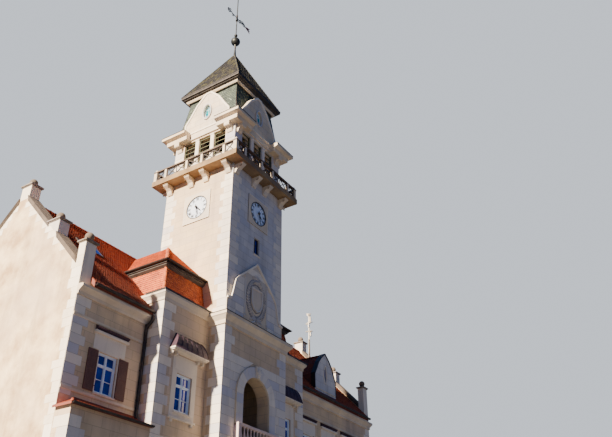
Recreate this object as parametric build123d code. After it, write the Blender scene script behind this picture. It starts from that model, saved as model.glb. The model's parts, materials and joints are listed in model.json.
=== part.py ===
from build123d import *
import math
import os

# Town hall with a clock tower, as a 1:2 scale model in millimetres.
# The origin is on the tower's axis at ground level: +X runs along the street front,
# +Y into the building and +Z up.

# Tower base
base_step = 120
base_wall = 400
base_rise = 735
base_cornice_height = 385
base_cornice_reach = 180

# Tower shaft
shaft_half = 1500
shaft_wall = 300
shaft_height = 5665
small_window_width = 310
small_window_height = 640
small_window_rise = 2700

# Loggia and portal
arch_steps = 20
loggia_half_width = 660
loggia_spring_rise = 1400
surround_width = 315
surround_reach = 60
keystone_half = 90
keystone_reach = 50
portal_half_width = 650
portal_spring = 1750
portal_door_thickness = 60
portal_panel_depth = 15

# Loggia balustrade
loggia_rail_height = 525
loggia_rail_thickness = 70
loggia_slab_thickness = 90
loggia_slab_reach = 170
baluster_count = 11
baluster_radius = 38
baluster_sides = 8
end_post_width = 110

# Relief over the base cornice
relief_thickness = 40
relief_plinth_rise = 565
relief_foot_half = 1290
relief_foot_rise = 620
relief_shoulder_half = 1110
relief_shoulder_rise = 1305
relief_bend_half = 905
relief_bend_rise = 1530
relief_neck_half = 600
relief_neck_rise = 1780
relief_apex_rise = 2300
shield_half = 300
shield_rise = 560
shield_height = 820
shield_thickness = 35

# Clocks
clock_drop = 1330
clock_radius = 435
clock_panel_half = 575
clock_panel_thickness = 30
dial_thickness = 10
dial_sides = 36
arbor_radius = 16
arbor_cap_radius = 28
arbor_cap_thickness = 12
hand_thickness = 10
hand_gap = 35
hand_space = 12
hub_radius = 42
hub_sides = 12
hub_clearance = 0.3
minute_length = 370
minute_tail = 95
minute_half_width = 18
hour_length = 255
hour_tail = 60
hour_half_width = 25
minute_angle = 168
hour_angle = 134

# Balcony
balcony_thickness = 210
balcony_reach = 420
corbel_width = 210
corbel_height = 375
corbel_reach = 345
corbel_foot = 60
corbel_places = (335, 1325)
rail_height = 445
rail_section = 50
rail_overhang = 12
rail_setback = 30
corner_post = 130
post_width = 90
post_places = (345, 1335)
cell_length = 420
panel_thickness = 24
panel_bar = 28
panel_clearance = 45

# Belfry
belfry_half = 1400
belfry_wall = 250
belfry_height = 2060
louvre_width = 520
louvre_pitch = 705
louvre_sill_rise = 540
louvre_head_drop = 390
louvre_recess = 50
louvre_stile = 20
slat_depth = 80
slat_thickness = 18
slat_drop = 60
slat_count = 6
belfry_cornice_height = 370
belfry_cornice_reach = 410
corner_cornice_inner = 700
frieze_height = 320
frieze_reach = 50
bracket_width = 230
bracket_height = 330
bracket_reach = 250
bracket_place = 1180

# Gables over the belfry
gable_half = 1080
gable_side_height = 570
gable_shoulder_half = 830
gable_shoulder_share = 0.29
gable_upper_half = 570
gable_upper_share = 0.64
gable_crown_half = 130
gable_drop = 270
oval_rise = 815
oval_half_width = 160
oval_half_height = 322
oval_sides = 24
oval_frame = 55
oval_frame_reach = 30
oval_recess = 90
oval_pane_thickness = 12

# Spire
steep_foot_half = 1370
steep_height = 2080
kink_half = 1110
spire_eave_half = 1425
spire_eave_height = 90
soffit_height = 190
soffit_foot_half = 1190
soffit_inset = 45
spire_height = 2805
spire_top_half = 45
slate_thickness = 70

# Finial and weathervane
finial_foot_radius = 62
finial_neck_radius = 30
ball_radius = 195
ball_rise = 875
ball_sides = 12
knob_radius = 70
knob_rise = 1255
rod_radius = 22
rod_rise = 3755
rod_tip_radius = 45
vane_rise = 2385
socket_half_height = 150
socket_radius = 40
collar_radius = 58
collar_height = 40
vane_clearance = 0.3
pointer_reach = 680
flag_reach = 960
flag_half_height = 150
flag_length = 330
vane_bar_half = 16
scroll_radius = 105
scroll_sides = 10
vane_thickness = 14

# Main building
left_end = 6130
right_end = 9750
front_face = 470
rear_face = 6070
wall = 300
gable_wall = 350
ground_storey = 2600
first_storey = 2850
top_storey = 2950
floor_thickness = 150
ground_slab = 100

# Main roof
ridge_place = 2800
ridge_rise = 3690
eave_rise = 200
eave_reach = 225
eave_trim = 35
roof_thickness = 150
gutter_radius = 60
gutter_wall = 12
gutter_sides = 8

# Wing cornice and bands
wing_cornice_drop = 375
wing_cornice_height = 275
wing_cornice_reach = 185
band_height = 70
band_reach = 30
frieze_band_drop = 935
sill_band_drop = 140

# Lower storeys beside the risalits
bay_face = 1000
bay_length = 2520
pent_rise = 200
pent_drop = 280
pent_thickness = 60
pent_reach = 110
pent_end_reach = 95
pent_hip = 540

# Risalits
risalit_edge = 3610
risalit_face = 1025
risalit_rise = 300
risalit_cornice_height = 280
risalit_cornice_reach = 120
mansard_foot_reach = 50
mansard_rise = 970
mansard_lean = 200
upper_eave_reach = 130
upper_eave_height = 175
hip_rise = 1875
risalit_roof_thickness = 120

# Windows
window_width = 630
ground_sill = 800
ground_window_height = 1150
first_sill_rise = 650
first_window_height = 1250
top_sill_rise = 510
top_window_height = 1040
window_recess = 110
frame_depth = 50
frame_bar = 42
glass_thickness = 10
sill_height = 60
sill_reach = 60
sill_ear = 60
risalit_window = 2520
wing_window = 4805
wing_pitch = 1495
right_window_count = 3
lower_right_windows = (7000, 8500)
rear_window_count = 7
shutter_width = 310
shutter_thickness = 28
shutter_gap = 50

# Hoods over the windows
hood_half = 715
hood_top_half = 510
hood_rise = 500
hood_ledge = 110
hood_ledge_reach = 40
hood_height = 470
hood_reach = 240
hood_steps = 6
slim_hood_half = 560
slim_hood_rise = 510
slim_hood_height = 140
slim_hood_reach = 95

# Gable parapets
parapet_rise = 150
coping_thickness = 75
coping_reach = 50
apex_pedestal_half = 250
apex_pedestal_rise = 410
middle_pedestal_low = 650
middle_pedestal_high = 1475
middle_pedestal_rise = 10
eave_pedestal_length = 620
eave_pedestal_rise = 1080
cap_thickness = 75
cap_reach = 60
stone_ball_radius = 165
stone_ball_sides = 10
stone_neck_radius = 70
stone_neck_height = 90

# Dormer on the right wing
dormer_place = 6200
dormer_half = 790
dormer_side_rise = 900
dormer_shoulder_half = 500
dormer_shoulder_rise = 1420
dormer_rise = 1880
dormer_wall = 160
dormer_setback = 40
dormer_shell = 70
dormer_oval_half_width = 85
dormer_oval_half_height = 330
dormer_oval_rise = 1020

# Smaller pieces
downpipe_radius = 45
downpipe_sides = 12
downpipe_offset = 60
mast_place = 9150
mast_radius = 22
mast_rise = 1660
mast_arm_half = 180
mast_arm_pitch = 250
mast_arm_count = 4
mast_arm_radius = 9
skylight_width = 300
skylight_length = 420
skylight_height = 45
skylight_places = (-4750, -4250)
skylight_front = 1250

# Levels worked out from the sizes above
first_floor = ground_storey
second_floor = first_floor + first_storey
attic_floor = second_floor + top_storey
eave_height = attic_floor + eave_rise
ridge_height = eave_height + ridge_rise
ground_head = ground_sill + ground_window_height
first_sill = first_floor + first_sill_rise
first_head = first_sill + first_window_height
top_sill = second_floor + top_sill_rise
top_head = top_sill + top_window_height
storeys = ((ground_sill, ground_head), (first_sill, first_head), (top_sill, top_head))
hood_bottom = top_head + hood_rise
slim_hood_bottom = top_head + slim_hood_rise
sill_band = top_sill - sill_band_drop
frieze_band = eave_height - frieze_band_drop
wing_cornice_bottom = eave_height - wing_cornice_drop
pent_top = second_floor + pent_rise
pent_eave = pent_top - pent_drop
risalit_wall_top = eave_height + risalit_rise
mansard_foot = risalit_wall_top + risalit_cornice_height
mansard_top = mansard_foot + mansard_rise
hip_foot = mansard_top + upper_eave_height
hip_top = hip_foot + hip_rise
eave_pedestal_top = eave_height + eave_pedestal_rise
apex_pedestal_top = ridge_height + apex_pedestal_rise
dormer_side_top = eave_height + dormer_side_rise
dormer_shoulder = eave_height + dormer_shoulder_rise
dormer_top = eave_height + dormer_rise
dormer_oval_place = eave_height + dormer_oval_rise
mast_top = ridge_height + mast_rise
loggia_spring = second_floor + loggia_spring_rise
loggia_rail_top = second_floor + loggia_rail_height
base_top = attic_floor + base_rise
small_window_sill = base_top + small_window_rise
balcony_bottom = base_top + shaft_height
balcony_top = balcony_bottom + balcony_thickness
rail_top = balcony_top + rail_height
clock_height = balcony_bottom - clock_drop
belfry_top = balcony_top + belfry_height
louvre_sill = balcony_top + louvre_sill_rise
louvre_head = belfry_top - louvre_head_drop
cornice_low = belfry_top - belfry_cornice_height
oval_place = belfry_top + oval_rise
kink_height = belfry_top + steep_height
spire_low = kink_height + spire_eave_height
spire_top = spire_low + spire_height
ball_place = spire_top + ball_rise
knob_place = spire_top + knob_rise
vane_place = spire_top + vane_rise
rod_top = spire_top + rod_rise

# Places worked out from the sizes above
base_half = shaft_half + base_step
balcony_half = shaft_half + balcony_reach
rail_half = balcony_half - rail_setback
dial_face = shaft_half + dial_thickness
roof_slope = ridge_rise / (ridge_place + front_face + eave_reach)
right_windows = [wing_window + wing_pitch * index for index in range(right_window_count)]
rear_pitch = (left_end + right_end) / rear_window_count
rear_windows = [rear_pitch * (index + 0.5) - left_end for index in range(rear_window_count)]
inside_left = gable_wall - left_end
inside_right = right_end - gable_wall
sides = range(4)


def block(x0, x1, y0, y1, z0, z1):
    """A slab or post, given by its two faces on each axis."""
    return Pos(x0, y0, z0) * Box(x1 - x0, y1 - y0, z1 - z0, align=(Align.MIN,) * 3)


def prism(points, direction):
    """A flat closed outline, carried along a straight direction."""
    outline = Wire.make_polygon([Vector(*point) for point in points], close=True)
    return Part() + Solid.extrude(Face(outline), Vector(*direction))


def profile_along_x(outline, x0, x1):
    """An outline in (y, z), carried from x0 to x1."""
    return prism([(x0, y, z) for y, z in outline], (x1 - x0, 0, 0))


def profile_along_y(outline, y0, y1):
    """An outline in (x, z), carried from y0 to y1."""
    return prism([(x, y0, z) for x, z in outline], (0, y1 - y0, 0))


def plate(half_outline, y0, y1):
    """A plate facing the street, given by the right half of its outline in (x, z)."""
    left = [(-x, z) for x, z in reversed(half_outline) if x > 0]
    return profile_along_y(half_outline + left, y0, y1)


def frustum(low_half, high_half, z0, z1):
    """A square block about the tower's axis with four flat sides that taper upward."""
    outline = [(-low_half, z0), (low_half, z0), (high_half, z1), (-high_half, z1)]
    reach = max(low_half, high_half)
    return profile_along_x(outline, -reach, reach) & profile_along_y(outline, -reach, reach)


def ring(half_width, half_height, count):
    """Corners of a round or oval outline about the origin."""
    angles = [2 * math.pi * index / count for index in range(count)]
    return [(half_width * math.cos(angle), half_height * math.sin(angle)) for angle in angles]


def faceted(profile, count):
    """A turned piece on the Z axis with flat facets, from (radius, height) pairs."""
    rings = [[Vector(x, y, z) for x, y in ring(radius, radius, count)]
             for radius, z in profile]
    faces = [Face(Wire.make_polygon(rings[0], close=True)),
             Face(Wire.make_polygon(rings[-1], close=True))]
    for low, high in zip(rings, rings[1:]):
        for index in range(count):
            after = (index + 1) % count
            corners = [low[index], low[after], high[after], high[index]]
            faces.append(Face(Wire.make_polygon(corners, close=True)))
    return Part() + Solid(Shell(faces))


def ball_profile(radius, centre):
    """(radius, height) pairs of a ball with flattened poles."""
    angles = [math.radians(degrees) for degrees in (-65, -33, 0, 33, 65)]
    return [(radius * math.cos(angle), centre + radius * math.sin(angle)) for angle in angles]


def turned(piece, side):
    """The front's piece, turned about the tower's axis to another side."""
    return Rot(0, 0, 90 * side) * piece


def on_all_sides(piece):
    """The front's piece on each of the tower's four sides."""
    return [turned(piece, side) for side in sides]


def mirrored(pieces):
    """The same pieces on both sides of the tower."""
    return list(pieces) + [mirror(piece, about=Plane.YZ) for piece in pieces]


def arched(half_width, y0, y1, floor, spring):
    """A round-headed block that faces the street, for an opening or a leaf."""
    angles = [math.pi * index / arch_steps for index in range(arch_steps + 1)]
    head = [(half_width * math.cos(angle), spring + half_width * math.sin(angle))
            for angle in angles]
    return profile_along_y([(-half_width, floor), (half_width, floor)] + head, y0, y1)


def oval(half_width, half_height, y0, y1, z):
    """An upright oval block that faces the street."""
    outline = [(x, z + rise) for x, rise in ring(half_width, half_height, oval_sides)]
    return profile_along_y(outline, y0, y1)


def moulding(profile, path):
    """A band with mitred corners, whose outward side is on the left of its path."""
    first = Vector(*path[0])
    along = (Vector(*path[1]) - first).normalized()
    outward = Vector(0, 0, 1).cross(along)
    plane = Plane(origin=first, x_dir=outward, z_dir=along)
    section = plane * make_face(Polyline(*profile, close=True))
    return sweep(section, path=Polyline(*path), transition=Transition.RIGHT)


def cornice_profile(low, height, reach):
    """Fillet, sloped bed mould and flat crown of a stone cornice."""
    return [(0, low), (0.25 * reach, low), (0.3 * reach, low + 0.3 * height),
            (0.85 * reach, low + 0.6 * height), (reach, low + 0.65 * height),
            (reach, low + 0.9 * height), (0, low + height)]


def roof_top(y):
    """Height of the main roof's front slope above a place on the Y axis."""
    return ridge_height - roof_slope * (ridge_place - y)


def under_front_slope(x0, x1):
    """Everything below the front slope's upper face, for cutting what stands on it."""
    low = eave_height - ridge_height
    y0 = ridge_place - 2 * (ridge_place + front_face)
    return profile_along_x([(y0, roof_top(y0)), (y0, low), (rear_face, low),
                            (rear_face, ridge_height), (ridge_place, ridge_height)], x0, x1)


def roof_shell(outer, thickness):
    """A roof covering of the given upright thickness, open underneath."""
    return outer - Pos(0, 0, -thickness) * outer


def window_holes(places, sill, head, y0, y1):
    """Openings in a wall that faces the street or the yard."""
    half = window_width / 2
    return [block(x - half, x + half, y0 - 1, y1 + 1, sill, head) for x in places]


def cut(piece, holes):
    """The piece without its holes."""
    for hole in holes:
        piece -= hole
    return piece


def save(name, pieces):
    """Write one node: a solid, or several that don't touch."""
    solids = [solid for piece in pieces for solid in piece.solids()]
    shape = solids[0] if len(solids) == 1 else Compound(children=solids)
    shape.label = name
    export_step(shape, f"parts/{name}.step")


# Tower base
def tower_end_walls():
    """Back wall of the base, and the front one with portal, window and loggia arch."""
    y0 = -base_half
    y1 = base_wall - base_half
    holes = [arched(loggia_half_width, y0 - 1, y1 + 1, second_floor, loggia_spring),
             arched(portal_half_width, y0 - 1, y1 + 1, 0, portal_spring)]
    holes += window_holes([0], first_sill, first_head, y0, y1)
    plain = block(-base_half, base_half, y0, y1, 0, base_top)
    return [cut(plain, holes), turned(plain, 2)]


def tower_side_walls():
    inner = base_half - base_wall
    return mirrored([block(inner, base_half, -inner, inner, 0, base_top)])


def tower_base_cornice():
    """Cornice on the three free sides, with a weathering up to the shaft."""
    low = base_top - base_cornice_height
    profile = cornice_profile(low, base_cornice_height, base_cornice_reach)
    back = -risalit_face
    path = [(base_half, back), (base_half, -base_half), (-base_half, -base_half),
            (-base_half, back)]
    return [cut(moulding(profile, path), risalit_cornices())]


def tower_floors():
    """Plates inside the base, from the ground slab to its ceiling."""
    inner = base_half - base_wall
    plates = [block(-inner, inner, -inner, inner, 0, ground_slab)]
    for level in (first_floor, second_floor, attic_floor):
        plates.append(block(-inner, inner, -inner, inner, level - floor_thickness, level))
    return plates


# Loggia and portal
def loggia_surround():
    """Flat band round the arch, down to the rail, with a keystone."""
    y1 = -base_half
    y0 = y1 - surround_reach
    outer = arched(loggia_half_width + surround_width, y0, y1, loggia_rail_top, loggia_spring)
    inner = arched(loggia_half_width, y0 - 1, y1 + 1, loggia_rail_top - 1, loggia_spring)
    low = loggia_spring + loggia_half_width
    high = low + surround_width
    key = profile_along_y([(-0.7 * keystone_half, low), (0.7 * keystone_half, low),
                           (keystone_half, high), (-keystone_half, high)],
                          y0 - keystone_reach, y1)
    return [outer - inner + key]


def baluster(height):
    """Turned baluster with a vase-shaped belly, standing on the origin."""
    r = baluster_radius
    profile = [(r, 0), (r, 0.1 * height), (0.5 * r, 0.2 * height), (r, 0.42 * height),
               (0.5 * r, 0.82 * height), (r, 0.92 * height), (r, height)]
    return faceted(profile, baluster_sides)


def loggia_balustrade():
    """Shallow slab, rail, end posts and balusters in front of the arch."""
    half = loggia_half_width + surround_width
    front = -base_half - loggia_slab_reach
    rail_low = loggia_rail_top - loggia_rail_thickness
    piece = block(-half, half, front, -base_half,
                  second_floor - loggia_slab_thickness, second_floor)
    piece += block(-half, half, front, front + end_post_width, rail_low, loggia_rail_top)
    for x0 in (-half, half - end_post_width):
        piece += block(x0, x0 + end_post_width, front, -base_half, second_floor,
                       loggia_rail_top)
    turned_post = baluster(rail_low - second_floor)
    span = 2 * (half - end_post_width)
    for index in range(baluster_count):
        x = span * ((index + 0.5) / baluster_count - 0.5)
        piece += Pos(x, front + end_post_width / 2, second_floor) * turned_post
    return [piece]


def portal_door():
    """Closed pair of panelled leaves in the doorway under the loggia."""
    y0 = base_wall / 2 - base_half
    leaves = arched(portal_half_width, y0, y0 + portal_door_thickness, 0, portal_spring)
    half = 0.34 * portal_half_width
    for x in (-portal_half_width / 2, portal_half_width / 2):
        for low, high in ((0.08, 0.4), (0.47, 0.95)):
            leaves -= block(x - half, x + half, y0 - 1, y0 + portal_panel_depth,
                            low * portal_spring, high * portal_spring)
    return [leaves]


# Tower shaft
def shaft_end_walls():
    """Front and back walls of the shaft; the front one has the small window."""
    y0 = -shaft_half
    y1 = shaft_wall - shaft_half
    plain = block(-shaft_half, shaft_half, y0, y1, base_top, balcony_bottom)
    half = small_window_width / 2
    hole = block(-half, half, y0 - 1, y1 + 1, small_window_sill,
                 small_window_sill + small_window_height)
    return [plain - hole, turned(plain, 2)]


def shaft_side_walls():
    inner = shaft_half - shaft_wall
    return mirrored([block(inner, shaft_half, -inner, inner, base_top, balcony_bottom)])


def shaft_relief():
    """Ogee gable of ashlar on the shaft, over the base cornice, with a plain shield."""
    half = [(0, base_top), (shaft_half, base_top), (shaft_half, base_top + relief_plinth_rise),
            (relief_foot_half, base_top + relief_foot_rise),
            (relief_shoulder_half, base_top + relief_shoulder_rise),
            (relief_bend_half, base_top + relief_bend_rise),
            (relief_neck_half, base_top + relief_neck_rise),
            (0, base_top + relief_apex_rise)]
    face = -shaft_half - relief_thickness
    gable = plate(half, face, -shaft_half)
    low = base_top + shield_rise
    shield = [(0, low), (0.55 * shield_half, low + 0.1 * shield_height),
              (0.9 * shield_half, low + 0.28 * shield_height),
              (shield_half, low + 0.5 * shield_height), (shield_half, low + shield_height),
              (0, low + shield_height)]
    return gable + plate(shield, face - shield_thickness, face)


# Clocks
def dial_outline():
    """Outline of a dial, which also is the hole that it sits in."""
    return [(x, clock_height + rise) for x, rise in ring(clock_radius, clock_radius, dial_sides)]


def clock_panels():
    """Square stone panels with a round hole for each dial."""
    half = clock_panel_half
    y0 = -shaft_half - clock_panel_thickness
    panel = block(-half, half, y0, -shaft_half, clock_height - half, clock_height + half)
    panel -= profile_along_y(dial_outline(), y0 - 1, 1 - shaft_half)
    return on_all_sides(panel)


def clock_dials():
    """Round dials, each with the fixed pin that the hands turn on."""
    y0 = -dial_face
    facing = Pos(0, 0, clock_height) * Rot(90, 0, 0)
    dial = profile_along_y(dial_outline(), y0, -shaft_half)
    reach = hand_gap + 2 * hand_thickness + hand_space + hub_clearance
    dial += Pos(0, y0 - reach / 2, 0) * facing * Cylinder(arbor_radius, reach)
    cap = faceted([(arbor_cap_radius, 0), (arbor_cap_radius, arbor_cap_thickness)], hub_sides)
    dial += Pos(0, y0 - reach, 0) * facing * cap
    return on_all_sides(dial)


def clock_hand(length, tail, half_width, angle, depth):
    """A tapered hand with its hub, turned clockwise from twelve as seen from outside."""
    y1 = -dial_face - depth
    y0 = y1 - hand_thickness
    waist = 0.62 * length
    blade = profile_along_y([(-0.5 * half_width, 0), (-half_width, waist), (0, length),
                             (half_width, waist), (0.5 * half_width, 0)], y0, y1)
    counter = profile_along_y([(-0.5 * half_width, 0), (0.5 * half_width, 0),
                               (half_width, -tail), (-half_width, -tail)], y0, y1)
    hub = profile_along_y(ring(hub_radius, hub_radius, hub_sides), y0, y1)
    middle = Pos(0, (y0 + y1) / 2, 0) * Rot(90, 0, 0)
    hand = blade + counter + hub
    hand -= middle * Cylinder(arbor_radius + hub_clearance, 2 * hand_thickness)
    return Pos(0, 0, clock_height) * Rot(0, angle, 0) * hand


# Balcony
def balcony_slab():
    """Stone slab between the shaft and the belfry."""
    return [block(-balcony_half, balcony_half, -balcony_half, balcony_half, balcony_bottom,
                  balcony_top)]


def bracket(face, top, reach, height, nose, width):
    """A bracket with a block at its head and a hollow curve down to its foot."""
    outline = [(face, top - height), (face, top), (face - reach, top), (face - reach, top - nose),
               (face - 0.92 * reach, top - 1.5 * nose), (face - 0.6 * reach, top - 0.42 * height),
               (face - 0.34 * reach, top - 0.6 * height),
               (face - 0.24 * reach, top - 0.85 * height), (face - 0.14 * reach, top - height)]
    return profile_along_x(outline, -width / 2, width / 2)


def balcony_corbels():
    """Four curved brackets on each side of the shaft, under the slab."""
    corbel = bracket(-shaft_half, balcony_bottom, corbel_reach, corbel_height, corbel_foot,
                     corbel_width)
    pieces = []
    for place in corbel_places:
        for x in (-place, place):
            pieces += on_all_sides(Pos(x, 0, 0) * corbel)
    return pieces


def bay_posts():
    """Places along a side of the railing's posts between the corners, in order."""
    return [-place for place in reversed(post_places)] + list(post_places)


def balcony_posts():
    """Stone piers at the corners and stone posts between them."""
    low = rail_half - corner_post
    high = rail_top - rail_section
    pieces = on_all_sides(block(low, rail_half, -rail_half, -low, balcony_top, high))
    for x in bay_posts():
        post = block(x - post_width / 2, x + post_width / 2, -rail_half,
                     post_width - rail_half, balcony_top, high)
        pieces += on_all_sides(post)
    return pieces


def balcony_rail():
    """Top rail all round, on the piers and posts."""
    outer = rail_half + rail_overhang
    inner = rail_half - post_width - rail_overhang
    low = rail_top - rail_section
    ring_bar = block(-outer, outer, -outer, outer, low, rail_top)
    return [ring_bar - block(-inner, inner, -inner, inner, low, rail_top)]


def railing_panel(x0, x1):
    """Openwork iron panel of crossed bars between two places on a side."""
    low = balcony_top + panel_clearance
    high = rail_top - rail_section
    y0 = (post_width - panel_thickness) / 2 - rail_half
    y1 = y0 + panel_thickness
    bar = panel_bar
    panel = block(x0, x1, y0, y1, low, high)
    cells = round((x1 - x0) / cell_length)
    pitch = (x1 - x0 - bar) / cells
    level = (low + high) / 2
    for index in range(cells):
        left = x0 + bar + pitch * index
        right = left + pitch - bar
        middle = (left + right) / 2
        top = high - bar
        foot = low + bar
        for outline in ([(left + bar, top), (right - bar, top), (middle, level + 0.6 * bar)],
                        [(left + bar, foot), (right - bar, foot), (middle, level - 0.6 * bar)],
                        [(left, foot + 0.6 * bar), (left, top - 0.6 * bar), (middle - bar, level)],
                        [(right, foot + 0.6 * bar), (right, top - 0.6 * bar),
                         (middle + bar, level)]):
            panel -= profile_along_y(outline, y0, y1)
    return panel


def balcony_railing():
    """The panels between the posts, under the top rail."""
    half = rail_half - corner_post
    posts = bay_posts()
    starts = [-half] + [x + post_width / 2 for x in posts]
    ends = [x - post_width / 2 for x in posts] + [half]
    pieces = []
    for x0, x1 in zip(starts, ends):
        pieces += on_all_sides(railing_panel(x0, x1))
    return pieces


# Belfry
def belfry_wall_front():
    """One belfry wall between the corners, with its three louvred openings."""
    y0 = -belfry_half
    y1 = belfry_wall - belfry_half
    holes = []
    for x in (-louvre_pitch, 0, louvre_pitch):
        holes.append(block(x - louvre_width / 2, x + louvre_width / 2, y0 - 1, y1 + 1,
                           louvre_sill, louvre_head))
    return y0, y1, holes


def belfry_end_walls():
    """Front and back walls, the full width of the belfry."""
    y0, y1, holes = belfry_wall_front()
    plain = block(-belfry_half, belfry_half, y0, y1, balcony_top, belfry_top)
    front = cut(plain, holes)
    return [front, turned(front, 2)]


def belfry_side_walls():
    """Side walls between the front and back ones."""
    y0, y1, holes = belfry_wall_front()
    inner = belfry_half - belfry_wall
    side = cut(block(-inner, inner, y0, y1, balcony_top, belfry_top), holes)
    return [turned(side, 1), turned(side, 3)]


def belfry_louvres():
    """Slatted frames in the belfry's openings."""
    y0 = louvre_recess - belfry_half
    y1 = y0 + slat_depth
    half = louvre_width / 2
    grille = block(-half, louvre_stile - half, y0, y1, louvre_sill, louvre_head)
    grille += block(half - louvre_stile, half, y0, y1, louvre_sill, louvre_head)
    pitch = (louvre_head - louvre_sill) / slat_count
    for index in range(slat_count):
        high = louvre_sill + pitch * (index + 1)
        slat = [(y0, high - slat_drop - slat_thickness), (y0, high - slat_drop), (y1, high),
                (y1, high - slat_thickness)]
        grille += profile_along_x(slat, louvre_stile - half, half - louvre_stile)
    pieces = []
    for x in (-louvre_pitch, 0, louvre_pitch):
        pieces += on_all_sides(Pos(x, 0, 0) * grille)
    return pieces


def belfry_cornices():
    """Deep cornice round each corner, with the scrolled brackets that carry it."""
    low = cornice_low
    height = belfry_cornice_height
    reach = belfry_cornice_reach
    profile = [(0, low), (0.62 * reach, low), (0.66 * reach, low + 0.48 * height),
               (0.9 * reach, low + 0.56 * height), (reach, low + 0.6 * height),
               (reach, low + 0.93 * height), (0, low + height)]
    path = [(-corner_cornice_inner, -belfry_half), (-belfry_half, -belfry_half),
            (-belfry_half, -corner_cornice_inner)]
    corner = moulding(profile, path)
    scroll = bracket(-belfry_half, cornice_low, bracket_reach, bracket_height,
                     0.3 * bracket_height, bracket_width)
    corner += Pos(-bracket_place, 0, 0) * scroll
    corner += turned(Pos(bracket_place, 0, 0) * scroll, 3)
    return on_all_sides(corner)


def belfry_frieze():
    """Flat band between the corner cornices, under the gables."""
    return on_all_sides(block(-corner_cornice_inner, corner_cornice_inner,
                              -belfry_half - frieze_reach, -belfry_half,
                              belfry_top - frieze_height, belfry_top))


def gable_outline():
    """Outline of a belfry gable, from its foot over its shoulders to its crown."""
    foot = belfry_top
    crown = steep_height - gable_drop
    side = gable_side_height
    right = [(gable_half, foot), (gable_half, foot + side),
             (gable_shoulder_half, foot + side + gable_shoulder_share * (crown - side)),
             (gable_upper_half, foot + side + gable_upper_share * (crown - side)),
             (gable_crown_half, foot + crown)]
    return right + [(-x, z) for x, z in reversed(right)]


def belfry_gables():
    """Stone gables with an oval window and its raised frame."""
    y0 = -belfry_half
    y1 = belfry_wall - belfry_half
    gable = profile_along_y(gable_outline(), y0, y1)
    gable += oval(oval_half_width + oval_frame, oval_half_height + oval_frame,
                  y0 - oval_frame_reach, y0, oval_place)
    gable -= oval(oval_half_width, oval_half_height, y0 - oval_frame_reach - 1, y1 + 1,
                  oval_place)
    return on_all_sides(gable)


def oval_panes():
    """Panes of the belfry's oval windows."""
    y0 = oval_recess - belfry_half
    return on_all_sides(oval(oval_half_width, oval_half_height, y0,
                             y0 + oval_pane_thickness, oval_place))


# Spire
def steep_roof():
    """Steep slate lower roof, open behind the gables."""
    outer = frustum(steep_foot_half, kink_half, belfry_top, kink_height)
    inner = frustum(steep_foot_half - slate_thickness, kink_half - slate_thickness,
                    belfry_top, kink_height)
    gable = profile_along_y(gable_outline(), -belfry_half, belfry_wall - belfry_half)
    return [cut(outer - inner, on_all_sides(gable))]


def spire_eave():
    """Projecting eave where the roof changes its slope, with a sloped soffit under it."""
    soffit_low = kink_height - soffit_height
    eave = block(-spire_eave_half, spire_eave_half, -spire_eave_half, spire_eave_half,
                 kink_height, spire_low)
    soffit = frustum(soffit_foot_half, spire_eave_half - soffit_inset, soffit_low, kink_height)
    return [eave + (soffit - frustum(steep_foot_half, kink_half, belfry_top, kink_height))]


def spire_roof():
    """Slate pyramid."""
    outer = frustum(spire_eave_half, spire_top_half, spire_low, spire_top)
    inner = frustum(spire_eave_half - 2 * slate_thickness, spire_top_half / 2, spire_low,
                    spire_top - 2 * slate_thickness)
    return [outer - inner]


def finial():
    """Flared foot, ball, knob and rod, with the collar that the vane turns on."""
    neck = finial_neck_radius
    profile = [(finial_foot_radius, spire_top), (neck, (spire_top + ball_place) / 2)]
    profile += [(neck, ball_place - 0.97 * ball_radius)]
    profile += ball_profile(ball_radius, ball_place)
    profile += [(neck, ball_place + 0.97 * ball_radius), (neck, knob_place - knob_radius)]
    profile += ball_profile(knob_radius, knob_place)
    piece = faceted(profile, ball_sides)
    rod_height = rod_top - knob_place
    piece += Pos(0, 0, knob_place + rod_height / 2) * Cylinder(rod_radius, rod_height)
    piece += faceted(ball_profile(rod_tip_radius, rod_top), ball_sides)
    collar = vane_place - socket_half_height - vane_clearance - collar_height
    piece += faceted([(collar_radius, collar), (collar_radius, collar + collar_height)],
                     ball_sides)
    return [piece]


def weathervane():
    """Socket on the rod, an open scroll and a swallow-tailed flag opposite a crescent."""
    bar = vane_bar_half
    y0 = -vane_thickness / 2
    y1 = vane_thickness / 2
    vane = profile_along_y([(-pointer_reach, -bar), (flag_reach, -bar), (flag_reach, bar),
                            (-pointer_reach, bar)], y0, y1)
    tail = flag_reach - flag_length
    vane += profile_along_y([(tail, -bar), (flag_reach, -flag_half_height),
                             (flag_reach - 0.35 * flag_length, 0),
                             (flag_reach, flag_half_height), (tail, bar)], y0, y1)
    hole = scroll_radius - 2 * bar
    scroll = profile_along_y(ring(scroll_radius, scroll_radius, scroll_sides), y0, y1)
    scroll -= profile_along_y(ring(hole, hole, scroll_sides), y0, y1)
    vane += Pos(-pointer_reach + scroll_radius, 0, 0) * scroll
    for x in (0.3, 0.52):
        vane += Pos(x * flag_reach, 0, 0) * scroll
    vane += Cylinder(socket_radius, 2 * socket_half_height)
    vane -= Cylinder(rod_radius + vane_clearance, 4 * socket_half_height)
    return [Pos(0, 0, vane_place) * vane]


# Walls of the building
eave_wall_top = roof_top(-front_face) - roof_thickness
pent_slope = (pent_top - pent_eave) / (bay_face + pent_reach - front_face)
bay_wall_top = pent_eave + pent_slope * pent_reach - pent_thickness
bay_end = risalit_edge + bay_length


def risalit_front_walls():
    """Street walls of the two risalits, from the tower to their corners."""
    y0 = -risalit_face
    left = block(-risalit_edge, -base_half, y0, y0 + wall, 0, risalit_wall_top)
    for sill, head in storeys:
        left = cut(left, window_holes([-risalit_window], sill, head, y0, y0 + wall))
    return mirrored([left])


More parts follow.
